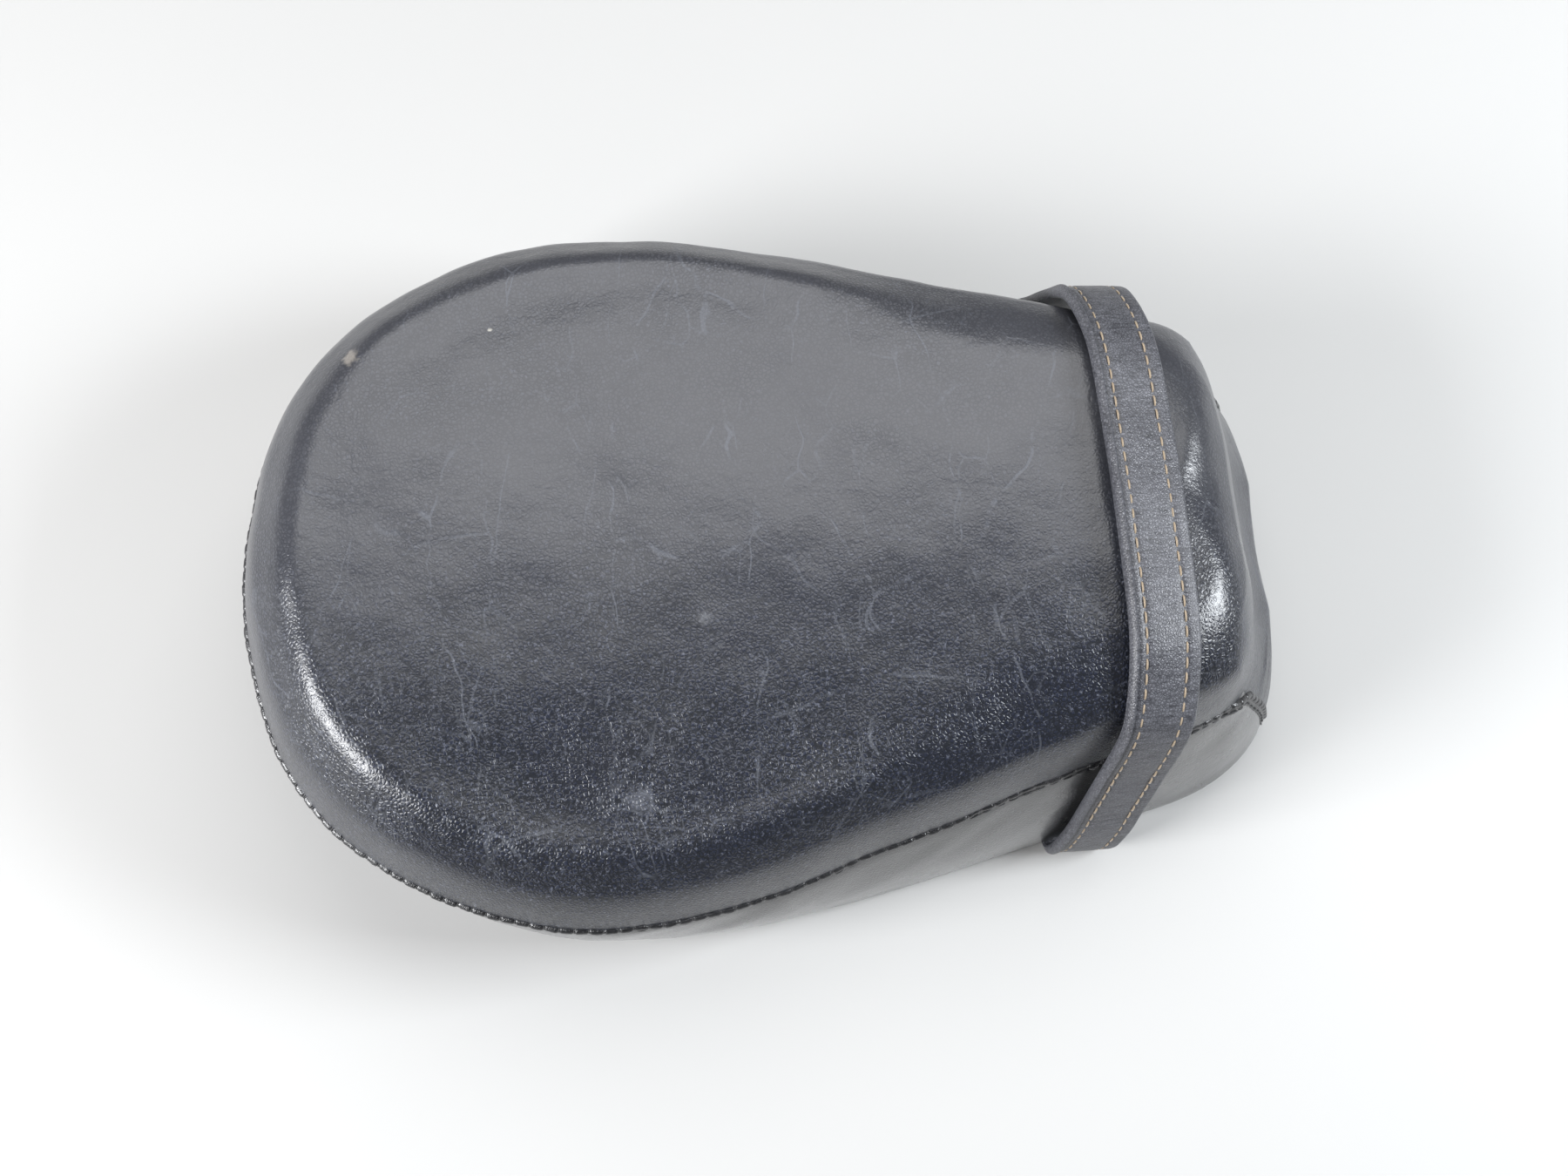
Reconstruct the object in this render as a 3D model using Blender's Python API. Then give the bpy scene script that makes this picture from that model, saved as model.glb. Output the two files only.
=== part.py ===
"""Motorcycle passenger seat: a stitched cover over a foam cushion on a moulded pan, with a grab strap.

Metres, +X towards the narrow nose, +Y left, +Z up. The origin is under the middle of the outline,
at the level of the rubber feet.

The cushion, its cover and the pan share one set of columns round the outline. On the underside the
columns fall on the pan's two fold lines, so the flat strips of neighbouring pieces stay parallel.
"""
import math

import bmesh
import bpy
import numpy as np
from mathutils import Matrix, Vector
from mathutils.bvhtree import BVHTree

# Clearances
GAP = 0.0003
HOLE_CLEARANCE = 0.0003
FOAM_GAP = 0.0012

# Left half of the seam round the top panel, rear centre to nose centre: B-spline control points
SEAM_HALF = (
    (-0.1890, 0.0000, 0.050),
    (-0.1760, 0.0620, 0.051),
    (-0.1460, 0.0970, 0.052),
    (-0.0990, 0.1230, 0.052),
    (-0.0420, 0.1270, 0.053),
    (0.0220, 0.1080, 0.056),
    (0.0820, 0.0890, 0.063),
    (0.1240, 0.0770, 0.067),
    (0.1520, 0.0720, 0.059),
    (0.1680, 0.0520, 0.050),
    (0.1680, 0.0000, 0.050),
)
# The rim of the pan, seen from above: how far each control point lies outside the seam's
RIM_OFFSET = (-0.010, -0.011, -0.012, -0.010, -0.004, 0.009, 0.012, 0.016, 0.016, 0.025, 0.010)

# Pan: a folded plate with flat lands at the sides and a raised channel for the mudguard
RIM_BOTTOM = 0.0045
CHANNEL_RISE = 0.022
CHANNEL_HALF = 0.024
LAND_EDGE = 0.060
PAN_THICK = 0.003
PAN_INSET = 0.0032

# Cover
COVER_THICK = 0.0015
HEM_WIDTH = 0.016
RIM_RADIUS = 0.0020
RIM_HEIGHT = 0.0025
SKIRT_ROWS = (0.22, 0.45, 0.68, 0.88)
SKIRT_BULGE = 0.003
SEAM_SLIT = 0.0004

# Crown of the cushion along its centre line, and how it rolls over to the seam
CROWN_X = (-0.190, -0.140, -0.080, -0.010, 0.060, 0.120, 0.150, 0.190)
CROWN_Z = (0.092, 0.096, 0.095, 0.099, 0.106, 0.110, 0.106, 0.092)
CROWN_ROWS = (0.02, 0.06, 0.12, 0.20, 0.30, 0.42, 0.58, 0.76, 0.92)
CROSS_FALL = 0.006
CROSS_REF = 0.100
ROLL_WIDTH = 0.036
ROLL_POWER = 2.2
WALL_WIDTH = 0.009
WALL_SHARE = 0.55
RIDGE_HEIGHT = 0.004
RIDGE_INSET = 0.020
RIDGE_WIDTH = 0.009
RIDGE_FADE = (0.000, 0.080)
SPINE = (-0.075, 0.118)

# Columns of the left half: rear channel, rear slope, side, front slope, front channel
COLUMN_COUNTS = (2, 3, 22, 3, 2)

# Grab strap
STRAP_WIDTH = 0.025
STRAP_THICK = 0.0036
STRAP_LEAN = math.radians(8.0)
STRAP_STANDOFF = 0.0036
HINGE = Vector((0.107, 0.0, 0.0150))
STRAP_STATIONS = 30
SLEEVE_BORE = (0.0198, 0.0019)
WEBBING = (0.0192, 0.0013)
STRAP_END_X = 0.1055
STRAP_END_THICK = 0.0026
STRAP_END_INNER = 0.030
STRAP_END_GAP = 0.0006

# Fixings
PLATE = (0.023, 0.016, 0.0015)
PLATE_Y = 0.044
SCREW_SPACING = 0.013
SCREW_SHANK = 0.0020
SCREW_HEAD = 0.0042
SCREW_HEAD_HEIGHT = 0.0022
BOLT_SHANK = 0.0030
BOLT_HEAD_FLAT = 0.0050
BOLT_HEAD_HEIGHT = 0.0040
BOLT_FLANGE = 0.0085
SCREW_FLANGE = 0.0058
INSERT_FLANGE_THICK = 0.0012
INSERT_WALL = 0.0018
INSERT_HEIGHT = 0.0070
POCKET_CLEARANCE = 0.0012
BRACKET_THICK = 0.003
BRACKET_WIDTH = 0.036
REAR_BRACKET_WIDTH = 0.042
FRONT_BOLT_X = (0.070, 0.090)
REAR_BOLT_X = -0.126
REAR_BOLT_Y = (-0.011, 0.011)
FENDER_HOLE = 0.0045
FEET = (("rear", -0.095, 0.074), ("middle", -0.012, 0.080), ("front", 0.062, 0.073))
FOOT_RADIUS = 0.011
STAPLE = (0.010, 0.0012, 0.0006)
STAPLE_SPACING = 3
ROUND_SEGMENTS = 24
FOOT_SEGMENTS = 16
HIDDEN_SEGMENTS = 12


def remove_objects():
    for obj in list(bpy.data.objects):
        bpy.data.objects.remove(obj, do_unlink=True)


def principled(name, colour, roughness, metallic=0.0):
    material = bpy.data.materials.new(name)
    material.use_nodes = True
    shader = material.node_tree.nodes["Principled BSDF"]
    shader.inputs["Base Color"].default_value = (*colour, 1.0)
    shader.inputs["Roughness"].default_value = roughness
    shader.inputs["Metallic"].default_value = metallic
    material.diffuse_color = (*colour, 1.0)
    return material


def add_object(name, bm, material, origin=None, smooth_angle=35.0):
    """Turn a closed bmesh in world space into a named object whose origin is at `origin`."""
    origin = Vector((0.0, 0.0, 0.0)) if origin is None else Vector(origin)
    bmesh.ops.recalc_face_normals(bm, faces=bm.faces[:])
    bmesh.ops.translate(bm, vec=-origin, verts=bm.verts[:])
    mesh = bpy.data.meshes.new(name)
    bm.to_mesh(mesh)
    bm.free()
    mesh.shade_smooth()
    mesh.set_sharp_from_angle(angle=math.radians(smooth_angle))
    obj = bpy.data.objects.new(name, mesh)
    obj.location = origin
    bpy.context.scene.collection.objects.link(obj)
    obj.data.materials.append(material)
    return obj


# Outlines ---------------------------------------------------------------------------------------

def closed_spline(half, samples=1440):
    """Closed uniform cubic B-spline through a half outline and its mirror image."""
    half = np.array(half)
    mirrored = half[1:-1][::-1].copy()
    mirrored[:, 1] *= -1.0
    control = np.concatenate([half, mirrored])
    count = len(control)
    t = np.arange(samples) * count / samples
    span = np.floor(t).astype(int)
    f = (t - span)[:, None]
    before, here, after, beyond = (control[(span + k - 1) % count] for k in range(4))
    weighted = (1 - f) ** 3 * before + (3 * f ** 3 - 6 * f ** 2 + 4) * here
    weighted += (-3 * f ** 3 + 3 * f ** 2 + 3 * f + 1) * after + f ** 3 * beyond
    return weighted / 6.0


def offset_inward(curve, distance):
    """Move a closed curve inward in plan by `distance`."""
    step = np.roll(curve, -1, axis=0) - np.roll(curve, 1, axis=0)
    length = np.hypot(step[:, 0], step[:, 1])
    moved = curve.copy()
    moved[:, 0] -= distance * step[:, 1] / length * winding(curve)
    moved[:, 1] += distance * step[:, 0] / length * winding(curve)
    return moved


def winding(curve):
    """+1 for a curve that runs anticlockwise seen from above, else -1."""
    following = np.roll(curve, -1, axis=0)
    area = np.sum(curve[:, 0] * following[:, 1] - following[:, 0] * curve[:, 1])
    return 1.0 if area > 0.0 else -1.0


def columns(curve):
    """Resample a closed symmetric curve so that columns fall on the pan's fold lines."""
    middle = len(curve) // 2
    half = curve[:middle + 1]
    y = half[:, 1]
    widest = int(np.argmax(y))
    arc = np.concatenate([[0.0], np.cumsum(np.hypot(*np.diff(half[:, :2], axis=0).T))])
    rear = [np.interp(edge, y[:widest + 1], arc[:widest + 1]) for edge in (CHANNEL_HALF, LAND_EDGE)]
    front_y = y[widest:][::-1]
    front_arc = arc[widest:][::-1]
    front = [np.interp(edge, front_y, front_arc) for edge in (LAND_EDGE, CHANNEL_HALF)]
    breaks = [0.0, *rear, *front, arc[-1]]
    stations = []
    for start, end, count in zip(breaks[:-1], breaks[1:], COLUMN_COUNTS):
        stations.extend(start + (end - start) * k / count for k in range(count))
    stations.append(arc[-1])
    left = np.column_stack([np.interp(stations, arc, half[:, axis]) for axis in range(half.shape[1])])
    left[0, 1] = 0.0
    left[-1, 1] = 0.0
    right = left[1:-1][::-1].copy()
    right[:, 1] *= -1.0
    return np.concatenate([left, right])


def channel(y):
    """Rise of the folded pan at a distance y from the centre line."""
    across = (LAND_EDGE - np.abs(y)) / (LAND_EDGE - CHANNEL_HALF)
    return CHANNEL_RISE * np.clip(across, 0.0, 1.0)


def rim_ring(inset, height):
    """Ring inside the pan's rim, `height` above the hem's underside."""
    ring = columns(offset_inward(RIM_CURVE, inset))
    return np.column_stack([ring, RIM_BOTTOM + channel(ring[:, 1]) + height])


def rim_control():
    """Control points of the rim: the seam's, moved square to their neighbours by RIM_OFFSET."""
    seam = np.array(SEAM_HALF)[:, :2]
    step = np.gradient(seam, axis=0)
    step[0] = step[-1] = (0.0, 1.0)
    outward = np.column_stack([-step[:, 1], step[:, 0]])
    outward[-1] = (1.0, 0.0)
    outward /= np.linalg.norm(outward, axis=1)[:, None]
    return seam + outward * np.array(RIM_OFFSET)[:, None]


# Cushion surface --------------------------------------------------------------------------------

def smooth_profile(x, stations, values):
    """Catmull-Rom interpolation of a height along the centre line."""
    stations = np.array(stations)
    values = np.array(values)
    slope = np.gradient(values, stations)
    x = np.clip(x, stations[0], stations[-1])
    k = np.clip(np.searchsorted(stations, x, side="right") - 1, 0, len(stations) - 2)
    width = stations[k + 1] - stations[k]
    t = (x - stations[k]) / width
    return ((1 + 2 * t) * (1 - t) ** 2 * values[k] + t * (1 - t) ** 2 * width * slope[k]
            + t ** 2 * (3 - 2 * t) * values[k + 1] - t ** 2 * (1 - t) * width * slope[k + 1])


def crown_ring(seam, share):
    """Ring of the crown, `share` of the way from the seam to the cushion's spine."""
    along = (seam[:, 0] - seam[:, 0].min()) / np.ptp(seam[:, 0])
    spine = np.column_stack([SPINE[0] + (SPINE[1] - SPINE[0]) * along, np.zeros(len(seam))])
    plan = seam[:, :2] * (1.0 - share) + spine * share
    inset = np.linalg.norm(plan - seam[:, :2], axis=1)
    crown = smooth_profile(plan[:, 0], CROWN_X, CROWN_Z)
    crown -= CROSS_FALL * (plan[:, 1] / CROSS_REF) ** 2
    wall = 1.0 - (1.0 - np.minimum(inset / WALL_WIDTH, 1.0)) ** 2
    rolled = 1.0 - (1.0 - np.minimum(inset / ROLL_WIDTH, 1.0)) ** ROLL_POWER
    rolled = WALL_SHARE * wall + (1.0 - WALL_SHARE) * rolled
    height = seam[:, 2] + (crown - seam[:, 2]) * rolled
    fade = np.clip((RIDGE_FADE[1] - plan[:, 0]) / (RIDGE_FADE[1] - RIDGE_FADE[0]), 0.0, 1.0)
    ridge = RIDGE_HEIGHT * np.exp(-((inset - RIDGE_INSET) / RIDGE_WIDTH) ** 2)
    return np.column_stack([plan, height + ridge * fade ** 2 * (3 - 2 * fade)])


def outer_rows():
    """Rows of the cover's outside, from the hem's inner edge under the rim up to the crown."""
    seam = columns(closed_spline(SEAM_HALF))
    rim = rim_ring(0.0, RIM_HEIGHT)
    rows = [rim_ring(HEM_WIDTH, 0.0), rim_ring(RIM_RADIUS, 0.0), rim]
    outward = rim - rim_ring(RIM_RADIUS, RIM_HEIGHT)
    outward /= np.linalg.norm(outward, axis=1)[:, None]
    slit = SEAM_SLIT / np.linalg.norm(seam - rim, axis=1)[:, None]
    for share in SKIRT_ROWS:
        bulge = SKIRT_BULGE * math.sin(math.pi * share)
        rows.append(rim * (1.0 - share) + seam * share + outward * bulge)
    rows.append(seam * (1.0 - slit) + rim * slit)
    rows.append(seam)
    rows.extend(crown_ring(seam, share) for share in CROWN_ROWS)
    return np.array(rows)


def inward_normals(rows):
    """Unit normals of a grid of rings, pointing into the cushion."""
    around = np.roll(rows, -1, axis=1) - np.roll(rows, 1, axis=1)
    upward = np.gradient(rows, axis=0)
    normal = np.cross(around, upward)
    normal /= np.linalg.norm(normal, axis=2)[:, :, None]
    centre = np.array((0.0, 0.0, 0.05))
    if np.sum(normal[SEAM_ROW] * (centre - rows[SEAM_ROW])) < 0.0:
        normal = -normal
    mitre = normal[SEAM_ROW - 2] + normal[SEAM_ROW + 1]
    mitre /= np.linalg.norm(mitre, axis=1)[:, None]
    normal[SEAM_ROW - 1] = mitre
    normal[SEAM_ROW] = mitre
    return normal


def cover_inside(rows):
    """Inside of the cover: flat rows over the hem, offset rows elsewhere."""
    inside = rows + inward_normals(rows) * COVER_THICK
    inside[0] = rim_ring(HEM_WIDTH, COVER_THICK)
    inside[1] = rim_ring(RIM_RADIUS + 0.001, COVER_THICK)
    inside[2] = rim_ring(COVER_THICK, RIM_HEIGHT)
    return inside


# Solids from rings ------------------------------------------------------------------------------

def grid_vertices(bm, rows):
    return [[bm.verts.new(point) for point in ring] for ring in rows]


def close_crown(bm, ring):
    """Fill the last ring of the crown with faces across the centre line."""
    count = len(ring)
    for k in range(count // 2):
        corners = [ring[k], ring[k + 1], ring[(count - k - 1) % count], ring[(count - k) % count]]
        bm.faces.new(list(dict.fromkeys(corners)))


def fill_folded(bm, ring):
    """Fill a ring that follows the pan's folds: two lands, two slopes and the channel's roof."""
    folds = np.cumsum((0,) + COLUMN_COUNTS)
    count = len(ring)
    rear_roof, rear_land, front_land, front_roof = folds[1:5]
    for side in (1, -1):
        land = [ring[side * k % count] for k in range(rear_land, front_land + 1)]
        slope = [ring[side * k % count] for k in range(rear_roof, rear_land + 1)]
        slope += [ring[side * k % count] for k in range(front_land, front_roof + 1)]
        bm.faces.new(land)
        bm.faces.new(slope)
    roof = [ring[k % count] for k in range(-rear_roof, rear_roof + 1)]
    roof += [ring[k % count] for k in range(front_roof, count - front_roof + 1)]
    bm.faces.new(roof)


def bridge(bm, lower, upper):
    count = len(lower)
    for k in range(count):
        n = (k + 1) % count
        bm.faces.new((lower[k], lower[n], upper[n], upper[k]))


def thick_sheet(outside, inside, cells, close_top):
    """Solid between two matching grids over the chosen cells (row, column)."""
    bm = bmesh.new()
    outer = grid_vertices(bm, outside)
    inner = grid_vertices(bm, inside)
    count = len(outer[0])
    for row, column in cells:
        following = (column + 1) % count
        corners = ((row, column), (row, following), (row + 1, following), (row + 1, column))
        bm.faces.new([outer[r][c] for r, c in corners])
    if close_top:
        close_crown(bm, outer[-1])
    partner = {}
    for outer_ring, inner_ring in zip(outer, inner):
        partner.update(zip(outer_ring, inner_ring))
    skin = bm.faces[:]
    border = [edge for edge in bm.edges if edge.is_boundary]
    for face in skin:
        bm.faces.new([partner[vert] for vert in reversed(face.verts)])
    for edge in border:
        start, end = edge.verts
        bm.faces.new((start, end, partner[end], partner[start]))
    loose = [vert for vert in bm.verts if not vert.link_faces]
    bmesh.ops.delete(bm, geom=loose, context="VERTS")
    return bm


def side_columns():
    """Columns of the side panel's cells: from one front corner round the rear to the other."""
    corner = sum(COLUMN_COUNTS[:3])
    return [column % COLUMN_TOTAL for column in range(-corner, corner)]


def make_top_panel(rows, material):
    side = set(side_columns())
    top = [(row, column) for row in range(SEAM_ROW, len(rows) - 1) for column in range(COLUMN_TOTAL)]
    apron = [(row, column) for row in range(SEAM_ROW) for column in range(COLUMN_TOTAL)
             if column not in side]
    return add_object("cover_top_panel", thick_sheet(rows, cover_inside(rows), top + apron, True), material)


def make_side_panel(rows, material):
    """Band round the sides and rear, stopping a slit short of the apron at both front corners."""
    band = rows[:SEAM_ROW].copy()
    inside = cover_inside(rows)[:SEAM_ROW].copy()
    corner = sum(COLUMN_COUNTS[:3])
    for end, previous in ((corner, corner - 1), (-corner, -corner + 1)):
        for grid in (band, inside):
            back = grid[:, previous] - grid[:, end]
            grid[:, end] += back * (SEAM_SLIT / np.linalg.norm(back, axis=1)[:, None])
    cells = [(row, column) for row in range(SEAM_ROW - 1) for column in side_columns()]
    return add_object("cover_side_panel", thick_sheet(band, inside, cells, False), material)


def make_foam(rows, material):
    foam = rows + inward_normals(rows) * (COVER_THICK + FOAM_GAP)
    floor = rim_ring(PAN_INSET + 0.001, COVER_THICK + PAN_THICK + 2.0 * GAP)
    bm = bmesh.new()
    rings = grid_vertices(bm, [floor, *foam[3:SEAM_ROW - 1], *foam[SEAM_ROW:]])
    for lower, upper in zip(rings[:-1], rings[1:]):
        bridge(bm, lower, upper)
    close_crown(bm, rings[-1])
    fill_folded(bm, rings[0])
    return add_object("foam_cushion", bm, material)


def make_pan(material):
    bm = bmesh.new()
    bottom = COVER_THICK + GAP
    rings = grid_vertices(bm, [rim_ring(PAN_INSET, bottom), rim_ring(PAN_INSET, bottom + PAN_THICK)])
    bridge(bm, *rings)
    fill_folded(bm, rings[0])
    fill_folded(bm, rings[1])
    return add_object("base_pan", bm, material)


# Turned and cut pieces --------------------------------------------------------------------------

def turned(profile, segments=ROUND_SEGMENTS, closed=False, flats=()):
    """Spin a profile of (radius, height) about Z. Indices in `flats` are drawn as hexagons."""
    bm = bmesh.new()
    rings = []
    for index, (radius, height) in enumerate(profile):
        ring = []
        for k in range(segments if radius > 0.0 else 1):
            angle = 2.0 * math.pi * k / segments
            reach = radius
            if index in flats:
                reach /= math.cos((angle + math.pi / 6.0) % (math.pi / 3.0) - math.pi / 6.0)
            ring.append(bm.verts.new((reach * math.cos(angle), reach * math.sin(angle), height)))
        rings.append(ring)
    pairs = list(zip(rings[:-1], rings[1:]))
    if closed:
        pairs.append((rings[-1], rings[0]))
    for lower, upper in pairs:
        for k in range(segments):
            n = (k + 1) % segments
            corners = [ring[i % len(ring)] for ring, i in ((lower, k), (lower, n), (upper, n), (upper, k))]
            bm.faces.new(list(dict.fromkeys(corners)))
    return bm


def place(bm, position, direction):
    """Turn a bmesh from +Z to `direction` and move it to `position`."""
    turn = Vector((0.0, 0.0, 1.0)).rotation_difference(Vector(direction)).to_matrix().to_4x4()
    bmesh.ops.transform(bm, matrix=Matrix.Translation(position) @ turn, verts=bm.verts[:])
    return bm


def cutter(name, cylinders):
    """Hidden object of separate cylinders: (point, direction, radius, start, end) along the direction."""
    joined = bmesh.new()
    for point, direction, radius, start, end in cylinders:
        outline = ((0.0, start), (radius, start), (radius, end), (0.0, end))
        pin = place(turned(outline, HIDDEN_SEGMENTS), point, direction)
        mesh = bpy.data.meshes.new(name)
        pin.to_mesh(mesh)
        pin.free()
        joined.from_mesh(mesh)
        bpy.data.meshes.remove(mesh)
    obj = add_object(name, joined, bpy.data.materials[0])
    obj.hide_render = True
    obj.display_type = "WIRE"
    return obj


def cut(obj, tool):
    boolean = obj.modifiers.new("holes", "BOOLEAN")
    boolean.operation = "DIFFERENCE"
    boolean.solver = "EXACT"
    boolean.object = tool


def slope_normal(side):
    """Upward normal of the channel's sloping wall on one side."""
    rise = CHANNEL_RISE / (LAND_EDGE - CHANNEL_HALF)
    return Vector((0.0, side * rise, 1.0)).normalized()


def pan_underside(y):
    return RIM_BOTTOM + COVER_THICK + GAP + float(channel(y))


def strap_screw_sites(side):
    """Points on the pan's underside where one strap end's two screws pass through."""
    y = side * PLATE_Y
    return [Vector((STRAP_END_X + offset, y, pan_underside(y)))
            for offset in (-SCREW_SPACING / 2.0, SCREW_SPACING / 2.0)]


def bracket_bolt_sites():
    roof = pan_underside(0.0)
    front = [Vector((x, 0.0, roof)) for x in FRONT_BOLT_X]
    rear = [Vector((REAR_BOLT_X, y, roof)) for y in REAR_BOLT_Y]
    return front, rear


def make_insert(name, site, direction, shank, flange, material):
    """Flanged threaded insert seated on top of the pan round a bolt or screw."""
    bore = shank + HOLE_CLEARANCE
    profile = (
        (bore, 0.0),
        (flange, 0.0),
        (flange, INSERT_FLANGE_THICK),
        (bore + INSERT_WALL, INSERT_FLANGE_THICK),
        (bore + INSERT_WALL, INSERT_HEIGHT),
        (bore, INSERT_HEIGHT),
    )
    lift = PAN_THICK * direction.z + GAP
    tube = turned(profile, HIDDEN_SEGMENTS, closed=True)
    add_object(name, place(tube, site + direction * lift, direction), material)


def make_bolt(name, site, material):
    """Hexagon bolt pointing up through a bracket and the pan."""
    seat = -BRACKET_THICK - 2.0 * GAP
    tip = PAN_THICK + INSERT_HEIGHT
    chamfer = 0.0006
    profile = (
        (0.0, seat - BOLT_HEAD_HEIGHT),
        (BOLT_HEAD_FLAT - chamfer, seat - BOLT_HEAD_HEIGHT),
        (BOLT_HEAD_FLAT, seat - BOLT_HEAD_HEIGHT + chamfer),
        (BOLT_HEAD_FLAT, seat),
        (BOLT_SHANK, seat),
        (BOLT_SHANK, tip - chamfer),
        (BOLT_SHANK - chamfer, tip),
        (0.0, tip),
    )
    add_object(name, place(turned(profile, flats=(2, 3)), site, (0.0, 0.0, 1.0)), material)


def make_strap_screw(name, site, direction, material):
    """Domed screw through the plate, the strap end and the pan's sloping wall."""
    seat = -(STRAP_END_THICK + PLATE[2] + 3.0 * GAP)
    tip = PAN_THICK + 0.005
    profile = (
        (0.0, seat - SCREW_HEAD_HEIGHT),
        (SCREW_HEAD * 0.55, seat - SCREW_HEAD_HEIGHT * 0.92),
        (SCREW_HEAD * 0.88, seat - SCREW_HEAD_HEIGHT * 0.55),
        (SCREW_HEAD, seat),
        (SCREW_SHANK, seat),
        (SCREW_SHANK, tip),
        (0.0, tip),
    )
    add_object(name, place(turned(profile), site, direction), material)


def make_foot(name, x, y, material):
    top = pan_underside(y) - GAP
    profile = (
        (0.0, 0.0),
        (FOOT_RADIUS - 0.0012, 0.0),
        (FOOT_RADIUS, 0.0012),
        (FOOT_RADIUS, top - 0.0016),
        (FOOT_RADIUS - 0.0015, top),
        (0.0, top),
    )
    foot = turned(profile, FOOT_SEGMENTS)
    add_object(name, place(foot, Vector((x, y, 0.0)), (0.0, 0.0, 1.0)), material)


def extruded_strip(centre_line, thickness, width):
    """Strip of metal bent in the XZ plane, given by the line of its top face."""
    bm = bmesh.new()
    top = np.array(centre_line)
    ahead = np.diff(top, axis=0)
    ahead /= np.linalg.norm(ahead, axis=1)[:, None]
    before = np.vstack([ahead[:1], ahead])
    after = np.vstack([ahead, ahead[-1:]])
    bisector = before + after
    bisector /= np.linalg.norm(bisector, axis=1)[:, None]
    mitre = np.sum(bisector * before, axis=1)[:, None]
    below = top + np.column_stack([bisector[:, 1], -bisector[:, 0]]) * thickness / mitre
    outline = np.concatenate([top, below[::-1]])
    face = bm.faces.new([bm.verts.new((x, -width / 2.0, z)) for x, z in outline])
    extruded = bmesh.ops.extrude_face_region(bm, geom=[face])
    moved = [item for item in extruded["geom"] if isinstance(item, bmesh.types.BMVert)]
    bmesh.ops.translate(bm, vec=(0.0, width, 0.0), verts=moved)
    return bm


def make_brackets(front_sites, rear_sites, material):
    """Front tongue that slides under a strap of the frame, and rear tab screwed to the mudguard."""
    roof = pan_underside(0.0) - GAP
    tongue = ((0.056, roof), (0.104, roof), (0.116, roof - 0.012), (0.152, roof - 0.012))
    tab = ((-0.147, 0.0060), (-0.147, roof - 0.003), (-0.144, roof), (-0.110, roof))
    front = add_object("front_bracket", extruded_strip(tongue, BRACKET_THICK, BRACKET_WIDTH), material)
    rear = add_object("rear_bracket", extruded_strip(tab, BRACKET_THICK, REAR_BRACKET_WIDTH), material)
    up = (0.0, 0.0, 1.0)
    reach = 0.006
    radius = BOLT_SHANK + HOLE_CLEARANCE
    cut(front, cutter("cut_front_bracket", [(site, up, radius, -reach, reach) for site in front_sites]))
    rear_holes = [(site, up, radius, -reach, reach) for site in rear_sites]
    rear_holes.append((Vector((-0.147, 0.0, 0.014)), (1.0, 0.0, 0.0), FENDER_HOLE, -reach, reach))
    cut(rear, cutter("cut_rear_bracket", rear_holes))


# Grab strap -------------------------------------------------------------------------------------

def lean_point(y, along, across=0.0):
    """Point of the strap's leaning plane: `along` up from the hinge line, `across` its width."""
    sine = math.sin(STRAP_LEAN)
    cosine = math.cos(STRAP_LEAN)
    return HINGE + Vector((along * sine + across * cosine, y, along * cosine - across * sine))


def cushion_surface(rows):
    """Search tree over the outside of the cover, closed along the centre line."""
    faces = []
    for r in range(len(rows) - 1):
        base = r * COLUMN_TOTAL
        for c in range(COLUMN_TOTAL):
            n = (c + 1) % COLUMN_TOTAL
            faces.append((base + c, base + n, base + COLUMN_TOTAL + n, base + COLUMN_TOTAL + c))
    last = (len(rows) - 1) * COLUMN_TOTAL
    for k in range(COLUMN_TOTAL // 2):
        across = (k, k + 1, (COLUMN_TOTAL - k - 1) % COLUMN_TOTAL, (COLUMN_TOTAL - k) % COLUMN_TOTAL)
        faces.append([last + c for c in dict.fromkeys(across)])
    return BVHTree.FromPolygons([tuple(point) for ring in rows for point in ring], faces)


def cushion_reach(surface, angle, origin):
    """Farthest the cushion reaches from `origin` in the strap's plane, over the strap's width."""
    direction = lean_point(math.cos(angle), math.sin(angle)) - HINGE
    reach = 0.0
    for across in (-0.52, -0.26, 0.0, 0.26, 0.52):
        start = lean_point(0.0, origin, across * STRAP_WIDTH)
        distance = surface.ray_cast(start, direction)[3]
        reach = max(reach, distance)
    return reach


def strap_path(surface):
    """Taut centre line (y, along) round the cushion, from the left leg's foot to the right one's."""
    origin = 0.045
    offset = STRAP_STANDOFF + STRAP_THICK / 2.0
    points = []
    for degrees in range(-24, 91, 3):
        angle = math.radians(degrees)
        reach = cushion_reach(surface, angle, origin) + offset
        points.append((reach * math.cos(angle), origin + reach * math.sin(angle)))
    foot_y = max(y for y, _ in points)
    hull = [(foot_y, 0.0)]
    for point in points:
        if point[1] <= 0.0:
            continue
        while len(hull) > 1 and turn(hull[-2], hull[-1], point) <= 0.0:
            hull.pop()
        hull.append(point)
    hull = np.array(hull)
    arc = np.concatenate([[0.0], np.cumsum(np.linalg.norm(np.diff(hull, axis=0), axis=1))])
    stations = np.linspace(0.0, arc[-1], STRAP_STATIONS // 2 + 1)
    left = np.column_stack([np.interp(stations, arc, hull[:, axis]) for axis in (0, 1)])
    for _ in range(2):
        left[2:-1] = (left[1:-2] + 2.0 * left[2:-1] + left[3:]) / 4.0
    left[-1, 0] = 0.0
    mirrored = left[:-1][::-1] * (-1.0, 1.0)
    return np.concatenate([left, mirrored])


def turn(first, second, third):
    """Positive where the path first, second, third turns anticlockwise."""
    ahead = (second[0] - first[0], second[1] - first[1])
    beyond = (third[0] - second[0], third[1] - second[1])
    return ahead[0] * beyond[1] - ahead[1] * beyond[0]


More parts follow.
